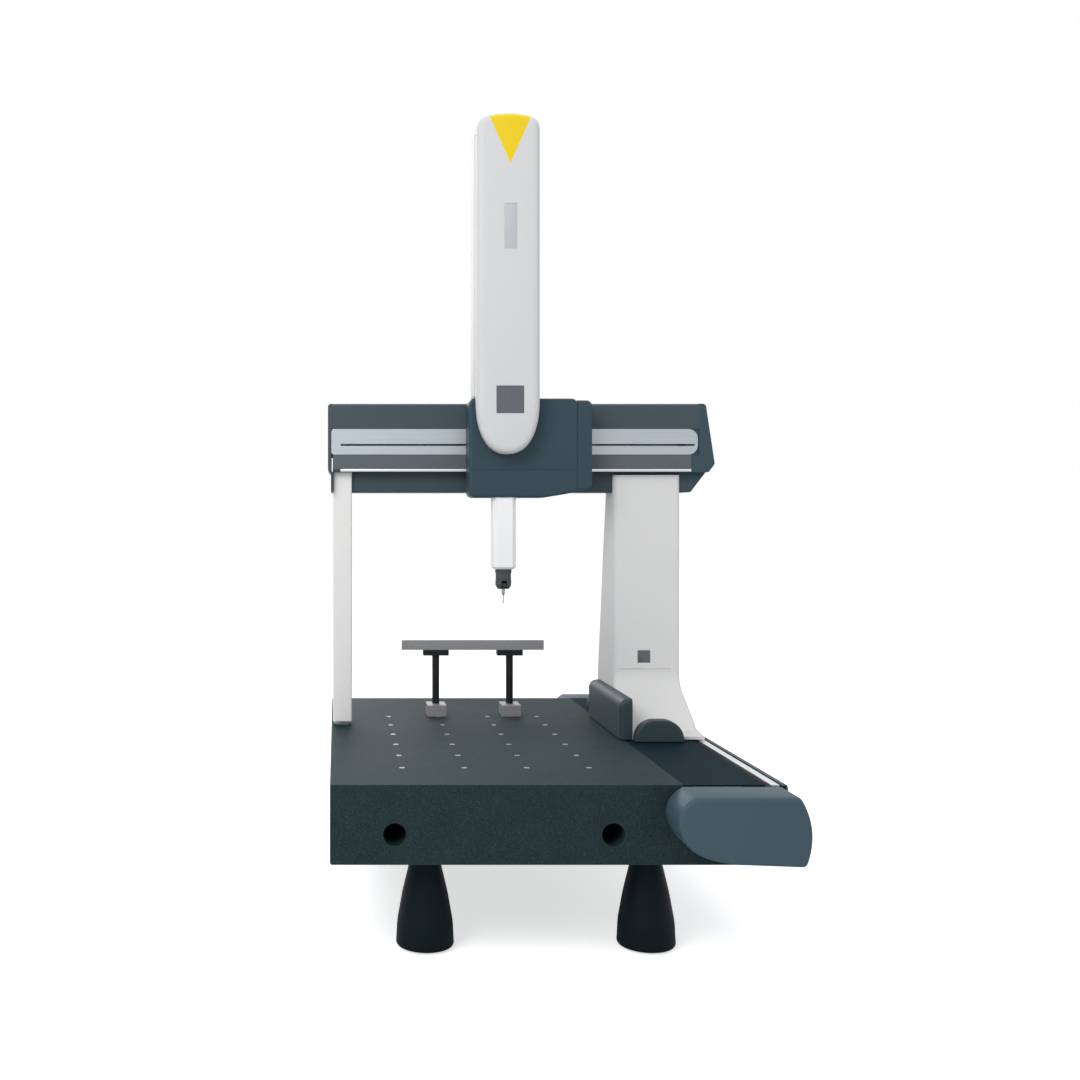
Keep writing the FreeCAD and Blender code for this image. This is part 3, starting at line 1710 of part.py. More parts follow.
def make_z_air_bearings():
    """Air pads between each bearing ring and the four faces of the ram."""
    pads = []
    near = ram_half + size.air_gap
    far = near + size.bearing_thickness
    flat = ram_half - size.ram_bevel
    for number, bottom in enumerate(ring_bottoms, start=1):
        z_range = (bottom + size.bearing_thickness, bottom + size.ring_height - size.bearing_thickness)
        middle_x = (ram_x - flat, ram_x + flat)
        middle_y = (ram_y - flat, ram_y + flat)
        pads.append(block(f"ZLeftPad{number}", (ram_x - far, ram_x - near), middle_y, z_range))
        pads.append(block(f"ZRightPad{number}", (ram_x + near, ram_x + far), middle_y, z_range))
        pads.append(block(f"ZFrontPad{number}", middle_x, (ram_y - far, ram_y - near), z_range))
        pads.append(block(f"ZRearPad{number}", middle_x, (ram_y + near, ram_y + far), z_range))
    part("z_air_bearings", grouped("ZAirBearings", *pads))


# ---------------------------------------------------------------- X carriage: covers

column_x = across(size.column_middle)
column_half = size.column_width / 2
column_cover_front = bridge_front - size.column_ahead
column_cover_rear = column_cover_front + size.column_cover_depth


def carriage_outline(inset):
    """Front view of the carriage cover, with its slanted lower right corner."""
    left, right = carriage_range
    radius = size.carriage_radius - inset
    low = carriage_bottom + inset
    return [
        (left + inset, low, radius),
        (across(size.carriage_slant_left), low),
        (across(size.carriage_slant_right), low + size.carriage_slant_rise),
        (right - inset, low + size.carriage_corner_rise, radius * 0.5),
        (right - inset, carriage_top - inset, radius),
        (left + inset, carriage_top - inset, radius),
    ]


def column_outline(inset):
    """Front view of the column cover: round shoulders above, narrowing tongue below."""
    tip = size.tongue_half_tip - inset * 0.6
    half = column_half - inset
    tongue_low = above(size.tongue_tip) + inset
    tongue_high = above(size.tongue_start)
    top = above(size.column_cover_top) - inset
    return [
        (column_x - tip, tongue_low, size.tongue_radius - inset),
        (column_x + tip, tongue_low, size.tongue_radius - inset),
        (column_x + half, tongue_high, 60),
        (column_x + half, top, size.column_top_radius - inset),
        (column_x - half, top, size.column_top_radius - inset),
        (column_x - half, tongue_high, 60),
    ]


def make_carriage_cover():
    """Dark shell before the beam, with a thin saddle over the beam's top and down its rear."""
    wall = carriage_wall
    shell = prism("CarriageShell", "XZ", carriage_outline(0), carriage_front, carriage_rear)
    round_edges(shell, size.carriage_edge_radius, lambda edge, middle: at(middle.y, carriage_front))
    hollow(shell, "CarriageInside", "XZ", carriage_outline(wall), carriage_front + wall, carriage_rear)
    seam_low = above(size.seam_height)
    seam_high = seam_low + size.seam_width
    left, right = carriage_range
    seam = [(left, seam_low), (right, seam_low), (right, seam_high), (left, seam_high)]
    hollow(shell, "CarriageSeam", "XZ", seam, carriage_front, carriage_front + size.seam_depth)
    tongue_opening = column_outline(wall * 2)
    hollow(shell, "TongueOpening", "XZ", tongue_opening, carriage_front, carriage_front + wall)
    ram_space = ram_half + pad_space
    ram_opening = [
        (ram_x - ram_space, ram_y - ram_half - size.bearing_thickness + 1),
        (ram_x + ram_space, ram_y - ram_half - size.bearing_thickness + 1),
        (ram_x + ram_space, ram_y + ram_space),
        (ram_x - ram_space, ram_y + ram_space),
    ]
    hollow(shell, "RamOpening", "XY", ram_opening, carriage_bottom, carriage_bottom + wall)
    flap_rear = beam_rear + size.carriage_gap + wall
    saddle_outline = [
        (carriage_rear, carriage_top - wall),
        (flap_rear - wall, carriage_top - wall),
        (flap_rear - wall, carriage_top - size.carriage_flap),
        (flap_rear, carriage_top - size.carriage_flap),
        (flap_rear, carriage_top, size.carriage_edge_radius * 0.4),
        (carriage_rear, carriage_top),
    ]
    radius = size.carriage_radius
    saddle = prism("CarriageSaddle", "YZ", saddle_outline, left + radius, right - radius)
    column_space = block(
        "ColumnSpace",
        (column_x - column_half + size.column_wall, column_x + column_half - size.column_wall),
        (carriage_front + wall, column_cover_rear - size.column_wall),
        (carriage_top - wall * 2, carriage_top + 1),
    )
    part("carriage_cover", cut("CarriageCover", fused("CarriageCoverWhole", shell, saddle), column_space))


def make_carriage_wiper():
    """Lighter end piece on the carriage's right side, a little lower and set back."""
    left = carriage_range[1]
    right = left + size.wiper_width
    low = carriage_bottom + size.carriage_corner_rise
    high = carriage_top - size.wiper_step
    front = carriage_front + size.wiper_setback
    outline = [
        (left, low),
        (right, low + size.wiper_step, size.carriage_radius),
        (right, high, size.carriage_radius),
        (left, high),
    ]
    wiper = prism("CarriageWiper", "XZ", outline, front, carriage_rear)
    round_edges(
        wiper, size.carriage_edge_radius, lambda edge, middle: at(middle.y, front) and middle.x > float(left) + 1
    )
    wall = carriage_wall
    inside = [
        (left + wall, low + wall * 2),
        (right - wall, low + wall * 2),
        (right - wall, high - wall * 2),
        (left + wall, high - wall * 2),
    ]
    hollow(wiper, "WiperInside", "XZ", inside, front + wall * 2, carriage_rear)
    part("carriage_wiper", wiper)


def column_shape(name, inset, front, rear, edge_radius):
    """The column's form between two depths, its front edges rounded, cut off behind the tongue."""
    body = prism(name, "XZ", column_outline(inset), front, rear)
    round_edges(body, edge_radius, lambda edge, middle: at(middle.y, front))
    low = above(size.tongue_tip) - 1
    behind = [
        (carriage_front, low),
        (rear + 1, low),
        (rear + 1, carriage_top),
        (carriage_front, carriage_top),
    ]
    if inset == 0:
        hollow(body, name + "Behind", "YZ", behind, column_x - column_half - 1, column_x + column_half + 1)
    return body


def badge_outline(inset):
    """Square window in the column's front, moved in by an inset."""
    left = across(size.badge_left) + inset
    right = across(size.badge_left + size.badge_size) - inset
    low = above(size.badge_bottom) + inset
    high = above(size.badge_bottom + size.badge_size) - inset
    return [(left, low), (right, low), (right, high), (left, high)]


def make_column_cover():
    """Light shell round the ram's upper end, open below and at the back of its tongue."""
    wall = size.column_wall
    outer = column_shape("ColumnOuter", 0, column_cover_front, column_cover_rear, size.column_edge_radius)
    hollow(
        outer, "BadgeSeat", "XZ", badge_outline(0), column_cover_front, column_cover_front + size.badge_depth
    )
    inner = column_shape(
        "ColumnInner", wall, column_cover_front + wall, column_cover_rear - wall, size.column_edge_radius - wall
    )
    part("column_cover", cut("ColumnCover", outer, inner))


def make_column_window():
    """Plain dark pane, just below flush in its square seat."""
    front = column_cover_front
    part(
        "column_window",
        prism("ColumnWindow", "XZ", badge_outline(0.4), front + 1, front + size.badge_depth),
    )


# ---------------------------------------------------------------- X carriage: Z drive, counterbalance


def make_z_drive():
    """Flat motor at the top of the plate, idler below, belt between them beside the ram."""
    half = size.z_motor_size / 2
    case = block(
        "ZMotorCase",
        (z_belt_x - half, z_belt_x + half),
        (z_motor_front, z_plate_front),
        (z_motor_height - half, z_motor_height + half),
    )
    shaft_start = (z_belt_x, z_motor_front - shaft_run, z_motor_height)
    shaft = rod("ZMotorShaft", "Y", shaft_start, size.shaft_radius, shaft_run + size.belt_side_gap)
    part("z_drive_motor", fused("ZDriveMotor", case, shaft))
    radius = size.z_pulley_radius
    make_pulley("ZDrivePulley", "z_drive_pulley", "Y", (z_belt_x, z_pulley_front, z_motor_height), radius)
    make_pulley("ZIdlerPulley", "z_idler_pulley", "Y", (z_belt_x, z_pulley_front, z_idler_height), radius)
    belt_ends = (z_belt_x, z_belt_front, z_idler_height), (z_belt_x, z_belt_front, z_motor_height)
    make_belt("ZDriveBelt", "z_drive_belt", "Y", *belt_ends, radius)


cylinder_x = ram_x + size.cylinder_offset


def make_counterbalance_cylinder():
    """Long air cylinder beside the ram, on two brackets, open at the top for its rod."""
    bottom = above(size.cylinder_bottom)
    top = above(size.cylinder_top)
    bore = size.piston_rod_radius + size.arm_clearance
    floor = bottom + size.cylinder_floor
    radius = size.cylinder_radius
    tube = turned(
        "CylinderTube",
        [(0, bottom), (radius, bottom), (radius, top), (bore, top), (bore, floor), (0, floor)],
        (cylinder_x, ram_y, 0),
    )
    brackets = [
        block(
            f"CylinderBracket{number}",
            (cylinder_x - radius * 0.6, cylinder_x + radius * 0.6),
            (ram_y + bore + size.arm_clearance, z_plate_front),
            (z, z + size.arm_thickness),
        )
        for number, z in enumerate([bottom + radius * 3, top - radius * 3], start=1)
    ]
    part("counterbalance_cylinder", fused("CounterbalanceCylinder", tube, *brackets))

# ---------------------------------------------------------------- ram


def ram_outline(half, bevel):
    """Square with bevelled corners round the ram's axis."""
    corners = []
    for x_sign, y_sign in ((-1, -1), (1, -1), (1, 1), (-1, 1)):
        on_x_side = (ram_x + half * x_sign, ram_y + (half - bevel) * y_sign)
        on_y_side = (ram_x + (half - bevel) * x_sign, ram_y + half * y_sign)
        corners += [on_x_side, on_y_side] if x_sign == y_sign else [on_y_side, on_x_side]
    return corners


z_groove_bottom = ram_x + ram_half - size.scale_thickness - size.air_gap


def make_ram():
    """White ceramic square tube with bevelled corners, closed and bevelled at its lower end."""
    ram = prism("Ram", "XY", ram_outline(ram_half, size.ram_bevel), ram_bottom, ram_top)
    round_edges(ram, size.ram_end_bevel, lambda edge, middle: at(middle.z, ram_bottom), "Chamfer")
    half_bore = size.ram_bore / 2
    bore = [
        (ram_x - half_bore, ram_y - half_bore),
        (ram_x + half_bore, ram_y - half_bore),
        (ram_x + half_bore, ram_y + half_bore),
        (ram_x - half_bore, ram_y + half_bore),
    ]
    hollow(ram, "RamBore", "XY", bore, ram_bottom + half_bore, ram_top)
    half = size.z_scale_width / 2
    groove = [
        (z_groove_bottom, ram_y - half),
        (ram_x + ram_half, ram_y - half),
        (ram_x + ram_half, ram_y + half),
        (z_groove_bottom, ram_y + half),
    ]
    hollow(ram, "ScaleGroove", "XY", groove, ram_top - size.z_scale_length, ram_top)
    part("ram", ram)


def make_z_scale():
    """Measuring tape let into the groove in the ram's right face."""
    half = size.z_scale_width / 2
    tape = block(
        "ZScale",
        (z_groove_bottom, z_groove_bottom + size.scale_thickness),
        (ram_y - half, ram_y + half),
        (ram_top - size.z_scale_length, ram_top),
    )
    part("z_scale", tape)


def make_counterbalance_rod():
    """Arm across the ram's top: belt clamp at its left end, piston rod below its right end."""
    rod_bottom = above(size.cylinder_bottom + size.piston_rod_lift)
    left = z_belt_x + size.z_pulley_radius + size.flange_height + size.belt_run_gap
    arm = block(
        "RamTopArm",
        (left, cylinder_x + size.piston_rod_radius * 2),
        (ram_y - size.cylinder_radius, ram_y + size.cylinder_radius),
        (ram_top, ram_top + size.arm_thickness),
    )
    piston_rod = rod(
        "PistonRod", "Z", (cylinder_x, ram_y, rod_bottom), size.piston_rod_radius, ram_top - rod_bottom
    )
    part("counterbalance_rod", fused("CounterbalanceRod", arm, piston_rod))


# ---------------------------------------------------------------- probe head

collar_bottom = ram_bottom - size.collar_height
head_bottom = collar_bottom - size.head_height
rotor_top = head_bottom - size.rotor_gap
pivot_height = ram_bottom - size.knuckle_drop
probe_top = pivot_height - size.probe_start


def make_head_body():
    """Fixed upper half of the motorised probe head, with its wider collar."""
    outline = [
        (0, head_bottom),
        (size.head_radius, head_bottom, 1.5),
        (size.head_radius, collar_bottom - 4),
        (size.collar_radius, collar_bottom),
        (size.collar_radius, ram_bottom, 2),
        (0, ram_bottom),
    ]
    part("head_body", turned("HeadBody", outline, (ram_x, ram_y, 0)))


def make_head_rotor():
    """Lower half of the head: turns about Z, with a slot and cross bore for the knuckle."""
    bottom = rotor_top - size.rotor_height
    radius = size.rotor_radius
    outline = [
        (0, bottom),
        (radius * 0.72, bottom, 7),
        (radius, bottom + radius * 0.5, 12),
        (radius, rotor_top, 2),
        (0, rotor_top),
    ]
    form = turned("RotorForm", outline, (ram_x, ram_y, 0))
    half_slot = size.knuckle_width / 2 + size.knuckle_clearance
    slot = block(
        "RotorSlot",
        (ram_x - half_slot, ram_x + half_slot),
        (ram_y - radius - 1, ram_y + size.knuckle_radius + size.knuckle_clearance),
        (bottom - 1, pivot_height + size.rotor_slot_rise),
    )
    bore = rod(
        "RotorBore",
        "X",
        (ram_x - radius - 1, ram_y, pivot_height),
        size.knuckle_pin_radius + size.shaft_clearance,
        radius * 2 + 2,
    )
    part("head_rotor", cut("HeadRotor", form, slot, bore))


def make_head_knuckle():
    """Tilting barrel on its cross pin, with the boss that carries the probe."""
    half = size.knuckle_width / 2
    barrel = rod(
        "KnuckleBarrel",
        "X",
        (ram_x - half, ram_y, pivot_height),
        size.knuckle_radius,
        size.knuckle_width,
    )
    pin_half = size.rotor_radius * 0.8
    pin = rod(
        "KnucklePin",
        "X",
        (ram_x - pin_half, ram_y, pivot_height),
        size.knuckle_pin_radius,
        pin_half * 2,
    )
    boss = rod("KnuckleBoss", "Z", (ram_x, ram_y, probe_top), size.probe_radius + 1.5, size.probe_start)
    part("head_knuckle", fused("HeadKnuckle", barrel, pin, boss))


def make_probe():
    """Touch-trigger probe, stepped in towards its stylus."""
    bottom = probe_top - size.probe_length
    radius = size.probe_radius
    outline = [
        (0, bottom),
        (radius * 0.55, bottom),
        (radius * 0.8, bottom + 5),
        (radius, bottom + 8),
        (radius, probe_top),
        (0, probe_top),
    ]
    part("probe", turned("Probe", outline, (ram_x, ram_y, 0)))


def make_stylus():
    """Thin stem that ends in a ball."""
    top = probe_top - size.probe_length
    ball_height = top - size.stylus_length
    stem = rod("StylusStem", "Z", (ram_x, ram_y, ball_height), size.stylus_radius, size.stylus_length)
    ball = doc.addObject("Part::Sphere", "StylusBall")
    bind(ball, "Radius", size.ball_radius)
    place(ball, ram_x, ram_y, ball_height)
    part("stylus", fused("Stylus", stem, ball))


# ---------------------------------------------------------------- the whole machine

make_granite_table()
make_threaded_inserts()
make_foot_covers()
make_levelling_jacks()
make_foot_pads()
make_y_guide_rail()
make_y_bumpers()
make_y_scale()
make_guide_cover()
make_guide_edge_strip()
make_guide_cover_band()
make_guide_cap("GuideFrontCap", "guide_front_cap", table_front, table_front - size.cap_length)
make_guide_cap("GuideRearCap", "guide_rear_cap", table_rear, table_rear + size.cap_length)
make_y_drive()
make_air_inlet()
make_stylus_rack()
make_main_leg_cover()
make_main_leg()
make_y_saddle()
make_y_air_bearings()
make_bearing_shroud()
make_guide_noses()
make_slim_leg()
make_cross_beam()
make_x_scale()
make_x_drive()
make_beam_upper_cover()
make_beam_lower_cover()
make_beam_front_panel()
make_beam_left_cap()
make_beam_right_cap()
make_carriage_frame()
make_x_air_bearings()
make_z_air_bearings()
make_carriage_cover()
make_carriage_wiper()
make_column_cover()
make_column_window()
make_z_drive()
make_counterbalance_cylinder()
make_ram()
make_z_scale()
make_counterbalance_rod()
make_head_body()
make_head_rotor()
make_head_knuckle()
make_probe()
make_stylus()

# ---------------------------------------------------------------- checks and export

doc.recompute()
for item in doc.Objects:
    if "Invalid" in item.State or "Error" in item.State:
        raise ValueError(f"{item.Name} could not be rebuilt")
os.makedirs("parts", exist_ok=True)
for piece in parts:
    if piece.Shape.isNull() or not piece.Shape.isValid():
        raise ValueError(f"{piece.Label} has no valid shape")
    piece.Shape.exportStep(f"parts/{piece.Label}.step")
    print(piece.Label, len(piece.Shape.Solids), round(piece.Shape.Volume / 1000))
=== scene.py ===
"""Moving-bridge coordinate measuring machine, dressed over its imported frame."""

import math

import bpy
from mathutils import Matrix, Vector


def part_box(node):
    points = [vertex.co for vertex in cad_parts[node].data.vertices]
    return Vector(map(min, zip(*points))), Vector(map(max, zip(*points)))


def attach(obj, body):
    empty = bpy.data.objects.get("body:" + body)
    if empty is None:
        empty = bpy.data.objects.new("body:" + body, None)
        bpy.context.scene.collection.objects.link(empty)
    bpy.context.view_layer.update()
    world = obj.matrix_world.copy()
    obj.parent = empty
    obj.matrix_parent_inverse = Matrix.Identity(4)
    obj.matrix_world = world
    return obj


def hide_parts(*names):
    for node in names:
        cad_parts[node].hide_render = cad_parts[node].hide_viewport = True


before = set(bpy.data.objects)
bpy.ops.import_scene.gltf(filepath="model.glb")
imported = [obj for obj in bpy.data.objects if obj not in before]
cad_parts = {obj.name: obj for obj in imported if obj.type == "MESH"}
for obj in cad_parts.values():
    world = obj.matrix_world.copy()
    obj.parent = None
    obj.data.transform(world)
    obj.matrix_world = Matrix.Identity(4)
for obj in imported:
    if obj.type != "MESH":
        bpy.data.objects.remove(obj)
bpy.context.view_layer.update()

# ------------------------------------------------------------------ camera, lamps and floor
# A studio camera stands in front of the table's left edge and looks level, so upright edges stay upright.
# Four wide soft boxes and a pale room light the machine evenly, and the floor is a plain pale sheet.

CAMERA_PLACE = (-0.708, -4.455, 1.348)
LENS = 39.77
SENSOR_WIDTH = 36
FRAME_SHIFT = (0.188, -0.0185)
ROOM_TINT = (0.93, 0.96, 1.0, 1)
ROOM_LIGHT = 0.50
WHITE = (1, 1, 1, 1)
FLOOR_WIDTH = 60
FLOOR_PALE = (0.9, 0.9, 0.9, 1)
FLOOR_GLOW = 0.62

bpy.ops.object.select_all(action="DESELECT")
bpy.ops.object.camera_add(location=CAMERA_PLACE, rotation=(math.radians(90), 0, 0))
camera = bpy.context.object
camera.name = "studio_camera"
camera.data.lens = LENS
camera.data.sensor_width = SENSOR_WIDTH
camera.data.shift_x, camera.data.shift_y = FRAME_SHIFT
bpy.context.scene.camera = camera
bpy.context.scene.view_settings.view_transform = "Standard"


def soft_box(name, place, aim, width, power):
    """Square area lamp pointed at a spot."""
    bpy.ops.object.light_add(type="AREA", location=place)
    lamp = bpy.context.object
    lamp.name = name
    lamp.data.shape = "SQUARE"
    lamp.data.size = width
    lamp.data.energy = power
    direction = Vector(aim) - Vector(place)
    lamp.rotation_euler = direction.to_track_quat("-Z", "Y").to_euler()


soft_box("key_box", place=(-3.2, -4.6, 4.6), aim=(0.1, -0.2, 1.3), width=3.2, power=208)
soft_box("fill_box", place=(4.4, -2.6, 3.0), aim=(0.0, 0.0, 1.2), width=3.0, power=30)
soft_box("top_box", place=(0.4, 1.0, 6.0), aim=(0.0, 0.0, 0.6), width=3.5, power=90)
soft_box("back_box", place=(-1.5, 5.0, 3.4), aim=(0.0, 0.0, 1.3), width=3.2, power=90)

world = bpy.data.worlds.new("studio_room")
bpy.context.scene.world = world
world.use_nodes = True
tree = world.node_tree
tree.nodes.clear()
room_light = tree.nodes.new("ShaderNodeBackground")
room_light.inputs["Color"].default_value = ROOM_TINT
room_light.inputs["Strength"].default_value = ROOM_LIGHT
room_seen = tree.nodes.new("ShaderNodeBackground")
room_seen.inputs["Color"].default_value = WHITE
room_seen.inputs["Strength"].default_value = 1.0
rays = tree.nodes.new("ShaderNodeLightPath")
straight = tree.nodes.new("ShaderNodeMath")
straight.operation = "MAXIMUM"
either = tree.nodes.new("ShaderNodeMath")
either.operation = "MAXIMUM"
mixed = tree.nodes.new("ShaderNodeMixShader")
out = tree.nodes.new("ShaderNodeOutputWorld")
tree.links.new(rays.outputs["Is Camera Ray"], straight.inputs[0])
tree.links.new(rays.outputs["Is Transmission Ray"], straight.inputs[1])
tree.links.new(straight.outputs[0], either.inputs[0])
tree.links.new(rays.outputs["Is Glossy Ray"], either.inputs[1])
tree.links.new(either.outputs[0], mixed.inputs[0])
tree.links.new(room_light.outputs[0], mixed.inputs[1])
tree.links.new(room_seen.outputs[0], mixed.inputs[2])
tree.links.new(mixed.outputs[0], out.inputs["Surface"])

bpy.ops.object.select_all(action="DESELECT")
bpy.ops.mesh.primitive_plane_add(size=FLOOR_WIDTH, location=(0, 0, 0))
floor = bpy.context.object
floor.name = "studio_floor"
floor_paint = bpy.data.materials.new("studio_floor_paint")
floor_paint.use_nodes = True
tree = floor_paint.node_tree
floor_shader = tree.nodes["Principled BSDF"]
floor_shader.inputs["Base Color"].default_value = FLOOR_PALE
floor_shader.inputs["Roughness"].default_value = 0.9
floor_shader.inputs["Emission Color"].default_value = WHITE
rays = tree.nodes.new("ShaderNodeLightPath")
glow = tree.nodes.new("ShaderNodeMath")
glow.operation = "MULTIPLY"
glow.inputs[1].default_value = FLOOR_GLOW
tree.links.new(rays.outputs["Is Camera Ray"], glow.inputs[0])
tree.links.new(glow.outputs[0], floor_shader.inputs["Emission Strength"])
floor.data.materials.append(floor_paint)

# ------------------------------------------------------------------ granite table
# One block of black granite, lapped flat on top and fine-ground at the sides, with a softened edge.
# The steel bushes of the fixture grid are glued into it, flush with the top.

CRYSTALS_PER_METRE = 420.0


def linear(red, green, blue):
    """A colour as it looks, 0 to 255, as the shader takes it."""
    parts = [c / 255 for c in (red, green, blue)]
    return (*[c / 12.92 if c <= 0.04045 else ((c + 0.055) / 1.055) ** 2.4 for c in parts], 1)


def add(tree, kind, **settings):
    """A node in a tree, with its settings."""
    node = tree.nodes.new(kind)
    for key, value in settings.items():
        setattr(node, key, value)
    return node


def new_group(name, inputs, outputs):
    """An empty node group with float inputs and the outputs asked for."""
    tree = bpy.data.node_groups.new(name, "ShaderNodeTree")
    for label, default in inputs.items():
        socket = tree.interface.new_socket(label, in_out="INPUT", socket_type="NodeSocketFloat")
        socket.default_value = default
    for label, kind in outputs.items():
        tree.interface.new_socket(label, in_out="OUTPUT", socket_type=f"NodeSocket{kind}")
    return tree, add(tree, "NodeGroupInput"), add(tree, "NodeGroupOutput")


def calculate(tree, operation, first, second, clamp=False):
    """A Math node on two sockets or numbers."""
    node = add(tree, "ShaderNodeMath", operation=operation, use_clamp=clamp)
    for index, value in enumerate((first, second)):
        if isinstance(value, (int, float)):
            node.inputs[index].default_value = value
        else:
            tree.links.new(value, node.inputs[index])
    return node.outputs[0]


def noise(tree, scale, detail=2.0, rough=0.5, stretch=None):
    """Noise on Object coordinates, in features per metre; stretch squeezes it along the axes."""
    place = add(tree, "ShaderNodeTexCoord").outputs["Object"]
    if stretch:
        mapping = add(tree, "ShaderNodeMapping")
        mapping.inputs["Scale"].default_value = stretch
        tree.links.new(place, mapping.inputs["Vector"])
        place = mapping.outputs["Vector"]
    node = add(tree, "ShaderNodeTexNoise")
    tree.links.new(place, node.inputs["Vector"])
    node.inputs["Detail"].default_value = detail
    node.inputs["Roughness"].default_value = rough
    if isinstance(scale, (int, float)):
        node.inputs["Scale"].default_value = scale
    else:
        tree.links.new(scale, node.inputs["Scale"])
    return node.outputs["Fac"]


# Edge wear and painted highlight: a mask on every outside edge, broken up by noise, which makes the edges
# paler both as rubbed paint and as light catching them, and a softened normal.
edge_wear_and_highlight, group_in, group_out = new_group(
    "edge_wear_and_highlight", {"Radius": 0.002, "Amount": 1.0}, {"Mask": "Float", "Normal": "Vector"}
)
soft_edge = add(edge_wear_and_highlight, "ShaderNodeBevel", samples=4)
edge_wear_and_highlight.links.new(group_in.outputs["Radius"], soft_edge.inputs["Radius"])
true_face = add(edge_wear_and_highlight, "ShaderNodeNewGeometry")
facing = add(edge_wear_and_highlight, "ShaderNodeVectorMath", operation="DOT_PRODUCT")
edge_wear_and_highlight.links.new(soft_edge.outputs["Normal"], facing.inputs[0])
edge_wear_and_highlight.links.new(true_face.outputs["Normal"], facing.inputs[1])
turned_away = calculate(edge_wear_and_highlight, "SUBTRACT", 1.0, facing.outputs["Value"])
broken = calculate(edge_wear_and_highlight, "MULTIPLY", turned_away, noise(edge_wear_and_highlight, 38.0, 4.0))
strength = calculate(edge_wear_and_highlight, "MULTIPLY", broken, 9.0)
edge_wear_and_highlight.links.new(
    calculate(edge_wear_and_highlight, "MULTIPLY", strength, group_in.outputs["Amount"], True), group_out.inputs["Mask"]
)
edge_wear_and_highlight.links.new(soft_edge.outputs["Normal"], group_out.inputs["Normal"])

# Slow change of shade and gloss over a large surface, as wiping and handling leave it.
wiped, group_in, group_out = new_group("wiped", {"Scale": 3.0, "Spread": 0.2}, {"Mask": "Float"})
slow = noise(wiped, group_in.outputs["Scale"], 5.0, 0.6)
centred = calculate(wiped, "SUBTRACT", slow, 0.5)
wiped.links.new(
    calculate(
        wiped, "ADD", 0.5, calculate(wiped, "MULTIPLY", centred, group_in.outputs["Spread"])
    ),
    group_out.inputs["Mask"],
)


def height_of(tree):
    """Height above the floor, in metres."""
    spot = add(tree, "ShaderNodeSeparateXYZ")
    tree.links.new(add(tree, "ShaderNodeTexCoord").outputs["Object"], spot.inputs[0])
    return spot.outputs["Z"]


class Finish:
    """A material under way: its tree, its Principled shader, and its colour, roughness and height so far."""

    def __init__(self, name, colour, roughness, metallic=0.0, **plain):
        self.material = bpy.data.materials.new(name)
        self.material.use_nodes = True
        self.tree = self.material.node_tree
        self.shader = self.tree.nodes["Principled BSDF"]
        self.colour = colour
        self.rough = roughness
        self.height = None
        self.shader.inputs["Metallic"].default_value = metallic
        for socket, value in plain.items():
            label = socket.replace("_", " ").title().replace("Ior", "IOR")
            self.shader.inputs[label].default_value = value

    def group(self, group, **values):
        """Place a shared node group with its own values."""
        node = add(self.tree, "ShaderNodeGroup")
        node.node_tree = group
        for socket, value in values.items():
            node.inputs[socket.title()].default_value = value
        return node

    def tint(self, mask, colour, share=1.0):
        """Mix another colour in where the mask is high."""
        mix = add(self.tree, "ShaderNodeMix", data_type="RGBA")
        self.tree.links.new(calculate(self.tree, "MULTIPLY", mask, share, True), mix.inputs["Factor"])
        if isinstance(self.colour, tuple):
            mix.inputs["A"].default_value = self.colour
        else:
            self.tree.links.new(self.colour, mix.inputs["A"])
        mix.inputs["B"].default_value = colour
        self.colour = mix.outputs["Result"]

    def gloss(self, mask, change):
        """Add change times the mask to the roughness."""
        self.rough = calculate(
            self.tree, "ADD", self.rough, calculate(self.tree, "MULTIPLY", mask, change)
        )

    def raise_by(self, mask, metres):
        """Add a height in metres where the mask is high."""
        part = calculate(self.tree, "MULTIPLY", mask, metres)
        self.height = calculate(self.tree, "ADD", self.height, part) if self.height else part

    def step(self, mask, low, high):
        """Stretch a mask between two levels to 0 and 1."""
        node = add(self.tree, "ShaderNodeMapRange", clamp=True)
        self.tree.links.new(mask, node.inputs["Value"])
        node.inputs["From Min"].default_value = low
        node.inputs["From Max"].default_value = high
        return node.outputs["Result"]

    def done(self, edge=0.002, edge_wear_and_highlight_share=0.0, edge_wear_and_highlight_colour=(0.5, 0.5, 0.5, 1)):
        """Close the material: edge softening, paler edges for wear and as painted highlight, bump, roughness
        and colour.
        """
        edges = self.group(edge_wear_and_highlight, radius=edge, amount=edge_wear_and_highlight_share)
        # Paler edges: partly wear, partly painted highlight along the edges.
        if edge_wear_and_highlight_share:
            self.tint(edges.outputs["Mask"], edge_wear_and_highlight_colour)
        normal = edges.outputs["Normal"]
        if self.height:
            bump = add(self.tree, "ShaderNodeBump")
            bump.inputs["Distance"].default_value = 1.0
            self.tree.links.new(self.height, bump.inputs["Height"])
            self.tree.links.new(normal, bump.inputs["Normal"])
            normal = bump.outputs["Normal"]
        self.tree.links.new(normal, self.shader.inputs["Normal"])
        if isinstance(self.colour, tuple):
            self.shader.inputs["Base Color"].default_value = self.colour
        else:
            self.tree.links.new(self.colour, self.shader.inputs["Base Color"])
        if isinstance(self.rough, float):
            self.shader.inputs["Roughness"].default_value = self.rough
        else:
            level = calculate(self.tree, "MAXIMUM", self.rough, 0.02, True)
            self.tree.links.new(level, self.shader.inputs["Roughness"])
        return self.material


def dress(material, *names):
    """Give CAD nodes their finish."""
    for name in names:
        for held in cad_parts[name].material_slots:
            held.material = material


